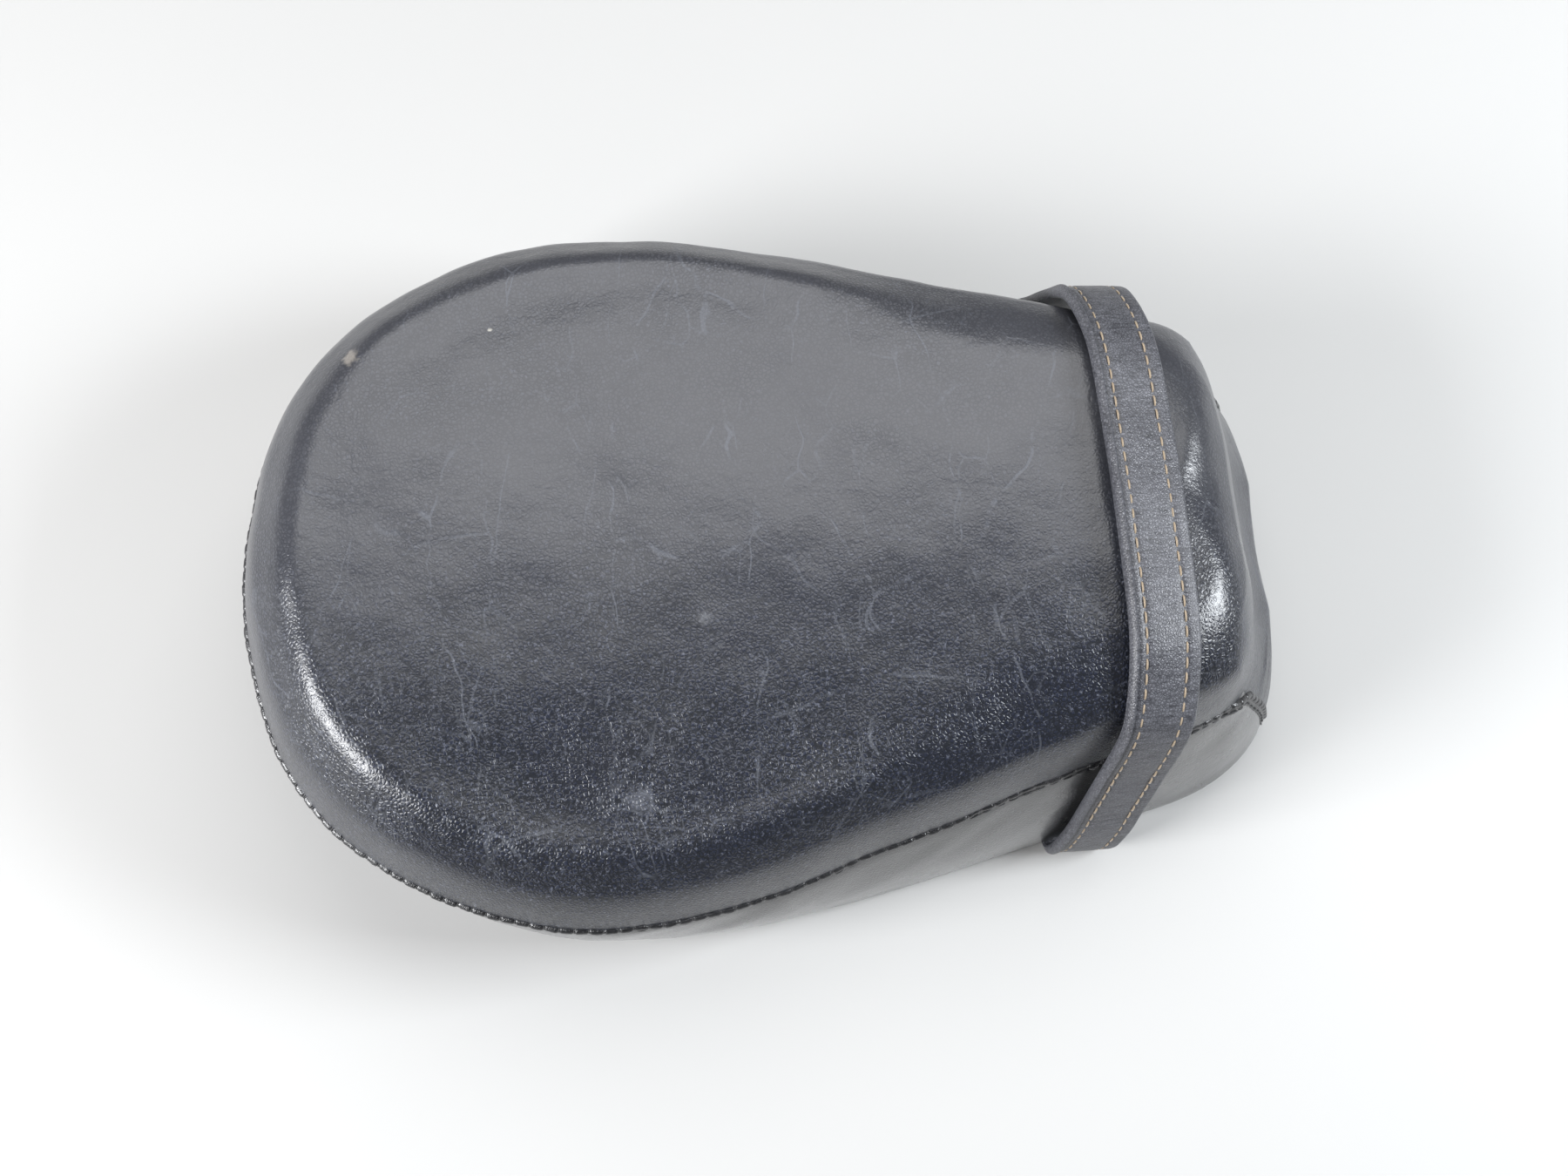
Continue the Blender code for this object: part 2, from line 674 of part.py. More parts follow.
def chamfered_section(width, thickness, chamfer):
    half_w = width / 2.0
    half_t = thickness / 2.0
    corner = ((half_w, half_t - chamfer), (half_w - chamfer, half_t))
    quarter = [(sx * w, st * t) for sx, st in ((1, 1), (-1, 1), (-1, -1), (1, -1)) for w, t in corner]
    for start in (2, 6):
        quarter[start:start + 2] = quarter[start:start + 2][::-1]
    return quarter


def swept_ring(bm, path, index, section, width_share=1.0):
    """Ring of a section across the strap at one station of its path."""
    before = path[max(index - 1, 0)]
    after = path[min(index + 1, len(path) - 1)]
    tangent = (after - before) / np.linalg.norm(after - before)
    outward = (tangent[1], -tangent[0])
    y, along = path[index]
    return [bm.verts.new(lean_point(y + outward[0] * lift, along + outward[1] * lift, across * width_share))
            for across, lift in section]


def rounded_feet(path):
    """Add the two round ends below the hinge line: stations with a share of the full width."""
    radius = STRAP_WIDTH / 2.0
    angles = [math.radians(a) for a in (30, 55, 75)]
    foot = [((path[0][0], -radius * math.sin(a)), math.cos(a)) for a in angles]
    left = [point for point, _ in reversed(foot)]
    right = [(-y, along) for (y, along), _ in foot]
    shares = [share for _, share in reversed(foot)] + [1.0] * len(path) + [share for _, share in foot]
    return np.concatenate([left, path, right]), shares


def make_strap(surface, sleeve_material, webbing_material):
    path = strap_path(surface)
    full, shares = rounded_feet(path)
    bm = bmesh.new()
    outer = chamfered_section(STRAP_WIDTH, STRAP_THICK, 0.0012)
    bore = chamfered_section(*SLEEVE_BORE, 0.0004)
    outside = [swept_ring(bm, full, k, outer, shares[k]) for k in range(len(full))]
    inside = [swept_ring(bm, full, k, bore, shares[k]) for k in range(len(full))]
    for rings in (outside, inside):
        for lower, upper in zip(rings[:-1], rings[1:]):
            bridge(bm, lower, upper)
    bridge(bm, outside[0], inside[0])
    bridge(bm, outside[-1], inside[-1])
    sleeve = add_object("strap_sleeve", bm, sleeve_material, HINGE)
    bm = bmesh.new()
    section = chamfered_section(*WEBBING, 0.0003)
    core = path[1:-1]
    rings = [swept_ring(bm, core, k, section) for k in range(len(core))]
    for lower, upper in zip(rings[:-1], rings[1:]):
        bridge(bm, lower, upper)
    bm.faces.new(rings[0])
    bm.faces.new(rings[-1])
    webbing = add_object("strap_webbing", bm, webbing_material, HINGE)
    hinge = bpy.data.objects.new("strap_hinge", None)
    hinge.location = HINGE
    bpy.context.scene.collection.objects.link(hinge)
    for piece in (sleeve, webbing):
        piece.parent = hinge
        piece.location = (0.0, 0.0, 0.0)
    return abs(path[0][0])


def make_strap_end(name, side, foot_y, material):
    """Flattened end that turns in under the rim and up the channel's sloping wall."""
    flat_z = RIM_BOTTOM - GAP - STRAP_END_THICK / 2.0
    drop = (GAP + STRAP_END_THICK / 2.0) / slope_normal(1).z
    start_y = foot_y - STRAP_THICK / 2.0 - STRAP_END_GAP
    slope_start = LAND_EDGE - 0.001
    line = [(start_y, flat_z), (LAND_EDGE + 0.004, flat_z), (slope_start, pan_underside(slope_start) - drop),
            (STRAP_END_INNER, pan_underside(STRAP_END_INNER) - drop)]
    bm = bmesh.new()
    half_t = STRAP_END_THICK / 2.0
    half_w = STRAP_WIDTH / 2.0
    rings = []
    for k, (y, z) in enumerate(line):
        before = line[max(k - 1, 0)]
        after = line[min(k + 1, len(line) - 1)]
        tangent = Vector((after[0] - before[0], after[1] - before[1])).normalized()
        normal = Vector((-tangent.y, tangent.x))
        corners = ((-half_w, half_t), (half_w, half_t), (half_w, -half_t), (-half_w, -half_t))
        rings.append([bm.verts.new((STRAP_END_X + w, side * (y + normal.x * t), z + normal.y * t))
                      for w, t in corners])
    for lower, upper in zip(rings[:-1], rings[1:]):
        bridge(bm, lower, upper)
    bm.faces.new(rings[0])
    bm.faces.new(rings[-1])
    return add_object(name, bm, material)


def make_plate(name, side, material):
    """Steel plate that clamps a strap end against the channel's sloping wall."""
    up = slope_normal(side)
    site = Vector((STRAP_END_X, side * PLATE_Y, pan_underside(PLATE_Y)))
    centre = site - up * (GAP + STRAP_END_THICK + GAP + PLATE[2] / 2.0)
    bm = bmesh.new()
    bmesh.ops.create_cube(bm, size=1.0)
    bmesh.ops.scale(bm, vec=PLATE, verts=bm.verts[:])
    turned_x = Matrix.Rotation(math.atan2(-up.y, up.z), 4, "X")
    bmesh.ops.transform(bm, matrix=Matrix.Translation(centre) @ turned_x, verts=bm.verts[:])
    return add_object(name, bm, material)


def make_strap_fixings(foot_y, strap_material, steel_plate, steel_screw, steel_insert):
    radius = SCREW_SHANK + HOLE_CLEARANCE
    for side, word in ((1, "left"), (-1, "right")):
        up = slope_normal(side)
        sites = strap_screw_sites(side)
        end = make_strap_end(f"strap_end_{word}", side, foot_y, strap_material)
        plate = make_plate(f"strap_plate_{word}", side, steel_plate)
        tool = cutter(f"cut_strap_{word}", [(site, up, radius, -0.008, 0.002) for site in sites])
        cut(end, tool)
        cut(plate, tool)
        for number, site in enumerate(sites, start=1):
            make_strap_screw(f"strap_screw_{word}_{number}", site, up, steel_screw)
            make_insert(f"strap_insert_{word}_{number}", site, up, SCREW_SHANK, SCREW_FLANGE, steel_insert)


# Small repeated pieces --------------------------------------------------------------------------

def make_staples(rows, material):
    """Staples along the hem, each parallel to the flat of the hem that it holds."""
    hem_edge, rim = rows[0], rows[1]
    number = 0
    for column in range(1, COLUMN_TOTAL, STAPLE_SPACING):
        following = (column + 1) % COLUMN_TOTAL
        corners = [hem_edge[column], hem_edge[following], rim[following], rim[column]]
        centre = Vector(np.mean(corners, axis=0))
        if abs(centre.x - STRAP_END_X) < STRAP_WIDTH and abs(centre.y) > LAND_EDGE:
            continue
        along = Vector(corners[1] + corners[2] - corners[0] - corners[3]).normalized()
        inward = Vector(corners[0] - corners[3])
        down = along.cross(inward).normalized()
        if down.z > 0.0:
            down.negate()
        across = down.cross(along)
        number += 1
        bm = bmesh.new()
        bmesh.ops.create_cube(bm, size=1.0)
        bmesh.ops.scale(bm, vec=STAPLE, verts=bm.verts[:])
        turn_matrix = Matrix((along, across, down)).transposed().to_4x4()
        lift = Matrix.Translation(centre + down * (GAP + STAPLE[2] / 2.0))
        bmesh.ops.transform(bm, matrix=lift @ turn_matrix, verts=bm.verts[:])
        staple = add_object(f"staple_{number:02d}", bm, material)
        bevel = staple.modifiers.new("rounded", "BEVEL")
        bevel.width = 0.0002
        bevel.segments = 1


def make_feet(material):
    for word, x, y in FEET:
        make_foot(f"foot_{word}_left", x, y, material)
        make_foot(f"foot_{word}_right", x, -y, material)


def cut_pan_and_foam(pan, foam, front_sites, rear_sites):
    """Bolt holes through the pan, and pockets in the foam over the threaded inserts."""
    up = Vector((0.0, 0.0, 1.0))
    holes = [(site, up, BOLT_SHANK + HOLE_CLEARANCE, -0.004, 0.006) for site in front_sites + rear_sites]
    top = PAN_THICK + INSERT_HEIGHT + 0.003
    wide = BOLT_FLANGE + POCKET_CLEARANCE
    narrow = SCREW_FLANGE + POCKET_CLEARANCE
    pockets = [(site, up, wide, 0.0, top) for site in front_sites + rear_sites]
    for side in (1, -1):
        slope = slope_normal(side)
        for site in strap_screw_sites(side):
            holes.append((site, slope, SCREW_SHANK + HOLE_CLEARANCE, -0.004, 0.006))
            pockets.append((site, slope, narrow, 0.0, top))
    cut(pan, cutter("cut_pan", holes))
    for number, pin in enumerate(pockets, start=1):
        cut(foam, cutter(f"cut_foam_{number}", [pin]))


def main():
    remove_objects()
    leather = principled("cover_leather", (0.035, 0.036, 0.040), 0.42)
    side_leather = principled("side_leather", (0.040, 0.041, 0.045), 0.45)
    foam_grey = principled("foam_grey", (0.30, 0.29, 0.27), 0.95)
    pan_plastic = principled("pan_plastic", (0.030, 0.030, 0.032), 0.55)
    strap_leather = principled("strap_leather", (0.045, 0.046, 0.052), 0.50)
    strap_end_leather = principled("strap_end_leather", (0.040, 0.041, 0.046), 0.52)
    webbing = principled("nylon_webbing", (0.020, 0.020, 0.022), 0.85)
    bracket_steel = principled("bracket_steel", (0.045, 0.045, 0.048), 0.45, 0.4)
    bolt_zinc = principled("bolt_zinc", (0.55, 0.55, 0.56), 0.35, 1.0)
    insert_zinc = principled("insert_zinc", (0.58, 0.56, 0.50), 0.40, 1.0)
    plate_steel = principled("plate_steel", (0.50, 0.50, 0.51), 0.40, 1.0)
    screw_steel = principled("screw_steel", (0.55, 0.55, 0.57), 0.30, 1.0)
    rubber = principled("foot_rubber", (0.018, 0.018, 0.019), 0.80)
    staple_steel = principled("staple_steel", (0.60, 0.60, 0.62), 0.35, 1.0)

    rows = outer_rows()
    make_top_panel(rows, leather)
    make_side_panel(rows, side_leather)
    foam = make_foam(rows, foam_grey)
    pan = make_pan(pan_plastic)

    up = Vector((0.0, 0.0, 1.0))
    front_sites, rear_sites = bracket_bolt_sites()
    cut_pan_and_foam(pan, foam, front_sites, rear_sites)
    make_brackets(front_sites, rear_sites, bracket_steel)
    for word, sites in (("front", front_sites), ("rear", rear_sites)):
        for number, site in enumerate(sites, start=1):
            make_bolt(f"{word}_bolt_{number}", site, bolt_zinc)
            make_insert(f"{word}_insert_{number}", site, up, BOLT_SHANK, BOLT_FLANGE, insert_zinc)

    foot_y = make_strap(cushion_surface(rows), strap_leather, webbing)
    make_strap_fixings(foot_y, strap_end_leather, plate_steel, screw_steel, insert_zinc)
    make_feet(rubber)
    make_staples(rows, staple_steel)


COLUMN_TOTAL = 2 * sum(COLUMN_COUNTS)
SEAM_ROW = 3 + len(SKIRT_ROWS) + 1
RIM_CURVE = closed_spline(rim_control())
main()
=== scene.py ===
"""Motorcycle passenger seat with a grab strap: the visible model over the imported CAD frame.

Metres, +X towards the nose, +Y left, +Z up. The cover is one grid of rings, from the hem under the
rim, up the skirt, over the seam and across the crown. The seam band, threads and strap follow it.
"""
import math

import bpy
import numpy as np
from mathutils import Matrix, Vector
from mathutils.bvhtree import BVHTree


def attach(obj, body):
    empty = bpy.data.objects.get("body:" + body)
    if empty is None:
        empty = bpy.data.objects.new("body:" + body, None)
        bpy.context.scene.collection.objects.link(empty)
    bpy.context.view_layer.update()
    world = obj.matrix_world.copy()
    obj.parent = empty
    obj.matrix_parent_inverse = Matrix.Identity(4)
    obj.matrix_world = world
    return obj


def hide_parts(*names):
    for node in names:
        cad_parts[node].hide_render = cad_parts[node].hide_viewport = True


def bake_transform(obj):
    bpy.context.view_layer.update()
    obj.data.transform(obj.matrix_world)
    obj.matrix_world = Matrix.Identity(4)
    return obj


# Outline of the seam, rear centre to nose centre, and how far the rim lies outside it
SEAM_HALF = (
    (-0.1890, 0.0000, 0.050),
    (-0.1760, 0.0620, 0.051),
    (-0.1460, 0.0970, 0.052),
    (-0.0990, 0.1230, 0.052),
    (-0.0420, 0.1270, 0.053),
    (0.0220, 0.1080, 0.056),
    (0.0820, 0.0890, 0.063),
    (0.1240, 0.0770, 0.067),
    (0.1520, 0.0720, 0.059),
    (0.1680, 0.0520, 0.050),
    (0.1680, 0.0000, 0.050),
)
RIM_OFFSET = (-0.010, -0.011, -0.012, -0.010, -0.004, 0.009, 0.012, 0.016, 0.016, 0.025, 0.010)
RIM_BOTTOM = 0.0045
CHANNEL_RISE = 0.022
CHANNEL_HALF = 0.024
LAND_EDGE = 0.060

# Cover
COVER_THICK = 0.0015
HEM_WIDTH = 0.016
RIM_RADIUS = 0.0020
RIM_HEIGHT = 0.0025
RIM_STEPS = 5
SKIRT_ROWS = 26
SKIRT_BULGE = 0.003
CROWN_X = (-0.190, -0.140, -0.080, -0.010, 0.060, 0.120, 0.150, 0.190)
CROWN_Z = (0.092, 0.096, 0.095, 0.099, 0.106, 0.110, 0.106, 0.092)
CROWN_ROWS = 62
CROWN_SPACING = 1.6
CROSS_FALL = 0.006
CROSS_REF = 0.100
ROLL_WIDTH = 0.036
ROLL_POWER = 2.2
WALL_WIDTH = 0.009
WALL_SHARE = 0.55
RIDGE_HEIGHT = 0.004
RIDGE_INSET = 0.020
RIDGE_WIDTH = 0.009
RIDGE_FADE = (0.000, 0.080)
SPINE = (-0.075, 0.118)
COLUMN_COUNTS = (14, 20, 190, 22, 14)
NOSE_SMOOTHING = 160
PUFF_ROWS = 20
PUFF_COLUMN_STEP = 4
PUFF_PRESSURE = 0.5
PUFF_STIFFNESS = 60.0
PUFF_BENDING = 6.0
PUFF_QUALITY = 5
PUFF_FRAMES = 20
PUFF_CAP = 0.0016

# Seam: a felled band with two rows of topstitch
STITCH_PITCH = 0.0050
BAND_HALF = 0.0027
BAND_HEIGHT = 0.0016
ROLL_AT = 0.0011
ROLL_HALF = 0.0015
STRIP_HEIGHT = 0.0006
STITCH_ROW = -0.0017
BAND_SINK = 0.0006
BAND_TUCK = 0.0001
BAND_STEP = 0.0005
SEAM_THREAD_RADIUS = 0.00032

# Strap
STRAP_WIDTH = 0.025
STRAP_THICK = 0.0036
STRAP_LEAN = math.radians(8.0)
STRAP_STANDOFF = 0.0034
HINGE = Vector((0.107, 0.0, 0.0150))
STRAP_END_THICK = 0.0024
STRAP_END_INNER = 0.0302
STRAP_ROWS = (-0.0072, 0.0068)
STRAP_EASE = 55
STRAP_THREAD_RADIUS = 0.00036

CUSHION_HEART = Vector((-0.02, 0.0, 0.06))
FLOOR_SIZE = 6.0
CAMERA_AT = Vector((-0.0703, -0.2196, 0.7908))
CAMERA_AIM = Vector((0.0083, 0.0064, 0.0))
CAMERA_UP = Vector((0.0727, 0.9570, 0.2807))
CAMERA_LENS = 50.0


# Outlines ---------------------------------------------------------------------------------------

def closed_spline(half, samples=4096):
    """Closed uniform cubic B-spline through a half outline and its mirror image."""
    half = np.array(half)
    mirrored = half[1:-1][::-1].copy()
    mirrored[:, 1] *= -1.0
    control = np.concatenate([half, mirrored])
    count = len(control)
    t = np.arange(samples) * count / samples
    span = np.floor(t).astype(int)
    f = (t - span)[:, None]
    before, here, after, beyond = (control[(span + k - 1) % count] for k in range(4))
    weighted = (1 - f) ** 3 * before + (3 * f ** 3 - 6 * f ** 2 + 4) * here
    weighted += (-3 * f ** 3 + 3 * f ** 2 + 3 * f + 1) * after + f ** 3 * beyond
    return weighted / 6.0


def winding(curve):
    following = np.roll(curve, -1, axis=0)
    area = np.sum(curve[:, 0] * following[:, 1] - following[:, 0] * curve[:, 1])
    return 1.0 if area > 0.0 else -1.0


def offset_inward(curve, distance):
    step = np.roll(curve, -1, axis=0) - np.roll(curve, 1, axis=0)
    length = np.hypot(step[:, 0], step[:, 1])
    moved = curve.copy()
    moved[:, 0] -= distance * step[:, 1] / length * winding(curve)
    moved[:, 1] += distance * step[:, 0] / length * winding(curve)
    return moved


def columns(curve):
    """Resample a closed symmetric curve so that columns fall on the pan's fold lines."""
    half = curve[:len(curve) // 2 + 1]
    y = half[:, 1]
    widest = int(np.argmax(y))
    arc = np.concatenate([[0.0], np.cumsum(np.hypot(*np.diff(half[:, :2], axis=0).T))])
    rear = [np.interp(edge, y[:widest + 1], arc[:widest + 1]) for edge in (CHANNEL_HALF, LAND_EDGE)]
    front_y = y[widest:][::-1]
    front_arc = arc[widest:][::-1]
    front = [np.interp(edge, front_y, front_arc) for edge in (LAND_EDGE, CHANNEL_HALF)]
    breaks = [0.0, *rear, *front, arc[-1]]
    stations = []
    for start, end, count in zip(breaks[:-1], breaks[1:], COLUMN_COUNTS):
        stations.extend(start + (end - start) * k / count for k in range(count))
    stations.append(arc[-1])
    left = np.column_stack([np.interp(stations, arc, half[:, axis]) for axis in range(half.shape[1])])
    left[0, 1] = 0.0
    left[-1, 1] = 0.0
    right = left[1:-1][::-1].copy()
    right[:, 1] *= -1.0
    return np.concatenate([left, right])


def channel(y):
    across = (LAND_EDGE - np.abs(y)) / (LAND_EDGE - CHANNEL_HALF)
    return CHANNEL_RISE * np.clip(across, 0.0, 1.0)


def rim_control():
    seam = np.array(SEAM_HALF)[:, :2]
    step = np.gradient(seam, axis=0)
    step[0] = step[-1] = (0.0, 1.0)
    outward = np.column_stack([-step[:, 1], step[:, 0]])
    outward[-1] = (1.0, 0.0)
    outward /= np.linalg.norm(outward, axis=1)[:, None]
    return seam + outward * np.array(RIM_OFFSET)[:, None]


def rim_ring(inset, height):
    ring = columns(offset_inward(RIM_CURVE, inset))
    return np.column_stack([ring, RIM_BOTTOM + channel(ring[:, 1]) + height])


# Cushion surface --------------------------------------------------------------------------------

def smooth_profile(x, stations, values):
    """Hermite interpolation of a height along the centre line."""
    stations = np.array(stations)
    values = np.array(values)
    slope = np.gradient(values, stations)
    x = np.clip(x, stations[0], stations[-1])
    k = np.clip(np.searchsorted(stations, x, side="right") - 1, 0, len(stations) - 2)
    width = stations[k + 1] - stations[k]
    t = (x - stations[k]) / width
    return ((1 + 2 * t) * (1 - t) ** 2 * values[k] + t * (1 - t) ** 2 * width * slope[k]
            + t ** 2 * (3 - 2 * t) * values[k + 1] - t ** 2 * (1 - t) * width * slope[k + 1])


def crown_ring(seam, share):
    """Ring of the crown, `share` of the way from the seam to the cushion's spine."""
    along = (seam[:, 0] - seam[:, 0].min()) / np.ptp(seam[:, 0])
    spine = np.column_stack([SPINE[0] + (SPINE[1] - SPINE[0]) * along, np.zeros(len(seam))])
    plan = seam[:, :2] * (1.0 - share) + spine * share
    inset = np.linalg.norm(plan - seam[:, :2], axis=1)
    crown = smooth_profile(plan[:, 0], CROWN_X, CROWN_Z)
    crown -= CROSS_FALL * (plan[:, 1] / CROSS_REF) ** 2
    wall = 1.0 - (1.0 - np.minimum(inset / WALL_WIDTH, 1.0)) ** 2
    rolled = 1.0 - (1.0 - np.minimum(inset / ROLL_WIDTH, 1.0)) ** ROLL_POWER
    rolled = WALL_SHARE * wall + (1.0 - WALL_SHARE) * rolled
    height = seam[:, 2] + (crown - seam[:, 2]) * rolled
    fade = np.clip((RIDGE_FADE[1] - plan[:, 0]) / (RIDGE_FADE[1] - RIDGE_FADE[0]), 0.0, 1.0)
    ridge = RIDGE_HEIGHT * np.exp(-((inset - RIDGE_INSET) / RIDGE_WIDTH) ** 2)
    return np.column_stack([plan, height + ridge * fade ** 2 * (3 - 2 * fade)])


def cover_rows():
    """Rings of the cover's outside: hem, rounded rim, skirt, seam and crown."""
    seam = columns(closed_spline(SEAM_HALF))
    rows = [rim_ring(HEM_WIDTH - k * (HEM_WIDTH - RIM_RADIUS) / 4.0, 0.0) for k in range(4)]
    for k in range(RIM_STEPS):
        angle = 0.5 * math.pi * k / RIM_STEPS
        rows.append(rim_ring(RIM_RADIUS * (1.0 - math.sin(angle)), RIM_HEIGHT * (1.0 - math.cos(angle))))
    rim = rim_ring(0.0, RIM_HEIGHT)
    outward = rim - rim_ring(RIM_RADIUS, RIM_HEIGHT)
    outward /= np.linalg.norm(outward, axis=1)[:, None]
    for k in range(SKIRT_ROWS):
        share = k / SKIRT_ROWS
        rows.append(rim * (1.0 - share) + seam * share + outward * SKIRT_BULGE * math.sin(math.pi * share))
    rows.append(seam)
    for k in range(1, CROWN_ROWS + 1):
        rows.append(crown_ring(seam, 0.992 * (k / CROWN_ROWS) ** CROWN_SPACING))
    return np.array(rows)


def nose_share():
    """1 over the apron's columns at the nose, fading to 0 past the front corners."""
    corner = sum(COLUMN_COUNTS[:3])
    index = np.arange(COLUMN_TOTAL)
    from_rear = np.minimum(index, COLUMN_TOTAL - index)
    return np.clip((from_rear - corner + 4) / 12.0, 0.0, 1.0)


def soften_nose(rows):
    """Round the crease where the apron turns into the crown: there is no seam across the nose."""
    share = nose_share()[None, :, None] * 0.5
    low, high = SEAM_ROW - 16, SEAM_ROW + 26
    for _ in range(NOSE_SMOOTHING):
        middle = rows[low - 1:high - 1] + rows[low + 1:high + 1] - 2.0 * rows[low:high]
        rows[low:high] += share * middle * 0.5
    return rows


def puffed(rows):
    """Inflate a coarse copy of the crown as cloth and carry its capped movement back to the grid."""
    picked = np.unique(np.linspace(SEAM_ROW, len(rows) - 1, PUFF_ROWS).astype(int))
    stations = np.arange(0, COLUMN_TOTAL, PUFF_COLUMN_STEP)
    coarse = rows[picked][:, stations]
    size = len(stations)
    faces = [(r * size + c, r * size + (c + 1) % size, (r + 1) * size + (c + 1) % size, (r + 1) * size + c)
             for r in range(len(picked) - 1) for c in range(size)]
    last = (len(picked) - 1) * size
    for k in range(size // 2):
        across = (k, k + 1, (size - k - 1) % size, (size - k) % size)
        faces.append(tuple(last + c for c in dict.fromkeys(across)))
    faces.append(tuple(range(size))[::-1])
    outward_faces = [face[::-1] for face in faces]
    mesh = bpy.data.meshes.new("puff_coarse")
    mesh.from_pydata([tuple(v) for v in coarse.reshape(-1, 3)], [], outward_faces)
    balloon = bpy.data.objects.new("puff_coarse", mesh)
    bpy.context.scene.collection.objects.link(balloon)
    pins = balloon.vertex_groups.new(name="seam")
    pins.add(list(range(size)), 1.0, "REPLACE")
    cloth = balloon.modifiers.new("puff", "CLOTH")
    cloth.settings.quality = PUFF_QUALITY
    cloth.settings.use_pressure = True
    cloth.settings.uniform_pressure_force = PUFF_PRESSURE
    cloth.settings.tension_stiffness = PUFF_STIFFNESS
    cloth.settings.compression_stiffness = PUFF_STIFFNESS
    cloth.settings.bending_stiffness = PUFF_BENDING
    cloth.settings.vertex_group_mass = "seam"
    cloth.settings.effector_weights.gravity = 0.0
    for frame_number in range(1, PUFF_FRAMES + 1):
        bpy.context.scene.frame_set(frame_number)
    settled = balloon.evaluated_get(bpy.context.evaluated_depsgraph_get())
    moved = np.array([tuple(v.co) for v in settled.data.vertices]).reshape(coarse.shape) - coarse
    bpy.data.objects.remove(balloon, do_unlink=True)
    bpy.context.scene.frame_set(1)
    reach = np.linalg.norm(moved, axis=2)[:, :, None]
    moved *= PUFF_CAP * np.tanh(reach / PUFF_CAP) / np.maximum(reach, 1e-9)
    wrapped = np.concatenate([moved, moved[:, :1]], axis=1)
    around = np.append(stations, COLUMN_TOTAL)
    columns_fine = np.arange(COLUMN_TOTAL)
    rows_fine = np.arange(SEAM_ROW, len(rows))
    across_fine = np.array([[np.interp(columns_fine, around, ring[:, axis]) for axis in range(3)]
                            for ring in wrapped])
    for axis in range(3):
        for column in range(COLUMN_TOTAL):
            rows[SEAM_ROW:, column, axis] += np.interp(rows_fine, picked, across_fine[:, axis, column])
    return rows


def outward_normals(rows):
    around = np.roll(rows, -1, axis=1) - np.roll(rows, 1, axis=1)
    upward = np.gradient(rows, axis=0)
    normal = np.cross(upward, around)
    normal /= np.maximum(np.linalg.norm(normal, axis=2), 1e-12)[:, :, None]
    centre = np.array((0.0, 0.0, 0.05))
    if np.sum(normal[SEAM_ROW - 4] * (centre - rows[SEAM_ROW - 4])) > 0.0:
        normal = -normal
    return normal


def wander(u, v, seed, terms=7):
    """Smooth repeatable unevenness between about -1 and 1 over two coordinates in radians."""
    angle = np.arange(1, terms + 1) * 2.399 + seed
    speed = 1.0 + 0.37 * np.arange(terms)
    total = sum(np.sin(s * (np.cos(a) * u + np.sin(a) * v) + 5.1 * a) / s for a, s in zip(angle, speed))
    return total / 1.9


def relief(rows):
    """Height of sags, puckers and wrinkles over the grid, along the outward normal."""
    x, y, z = rows[:, :, 0], rows[:, :, 1], rows[:, :, 2]
    sag = 0.00055 * wander(x / 0.022, y / 0.022, 0.4) + 0.00022 * wander(x / 0.008, y / 0.008, 1.7)
    seam = rows[SEAM_ROW]
    step = np.linalg.norm(np.roll(seam, -1, axis=0) - seam, axis=1)
    arc = np.concatenate([[0.0], np.cumsum(step)[:-1]])[None, :]
    from_seam = np.linalg.norm(rows - seam[None], axis=2)
    lean = from_seam * np.sign(np.arange(len(rows)) - SEAM_ROW)[:, None]
    gather = wander(arc / 0.0019 + lean / 0.012, lean / 0.02, 2.6)
    nose = np.exp(-((np.abs(x) - 0.160) / 0.022) ** 2) * (x > 0)
    below = (lean < 0.0).astype(float)
    pucker = gather * np.exp(-from_seam / 0.007) * (0.00022 + 0.0004 * nose * below)
    slack = wander(arc / 0.011 + lean / 0.006, lean / 0.03, 4.2)
    pucker += below * slack * np.exp(-((from_seam - 0.014) / 0.014) ** 2) * (0.00030 + 0.0002 * nose)
    groove = -0.0007 * np.exp(-(from_seam / 0.0022) ** 2)
    quiet = 1.0 - nose_share()[None, :] * (np.abs(lean) < 0.02)
    strap = 0.0004 * np.exp(-((x - 0.123) / 0.015) ** 2) * (z > 0.08)
    hem = np.clip((z - RIM_BOTTOM - channel(y) - 0.004) / 0.006, 0.0, 1.0)
    return (sag + (pucker + groove) * quiet - strap) * hem


# Meshes -----------------------------------------------------------------------------------------

def add_piece(name, vertices, faces, material, body, smooth_angle=40.0):
    mesh = bpy.data.meshes.new(name)
    mesh.from_pydata([tuple(v) for v in vertices], [], faces)
    mesh.validate()
    mesh.update()
    mesh.shade_smooth()
    mesh.set_sharp_from_angle(angle=math.radians(smooth_angle))
    obj = bpy.data.objects.new(name, mesh)
    bpy.context.scene.collection.objects.link(obj)
    mesh.materials.append(material)
    if body:
        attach(obj, body)
    return obj


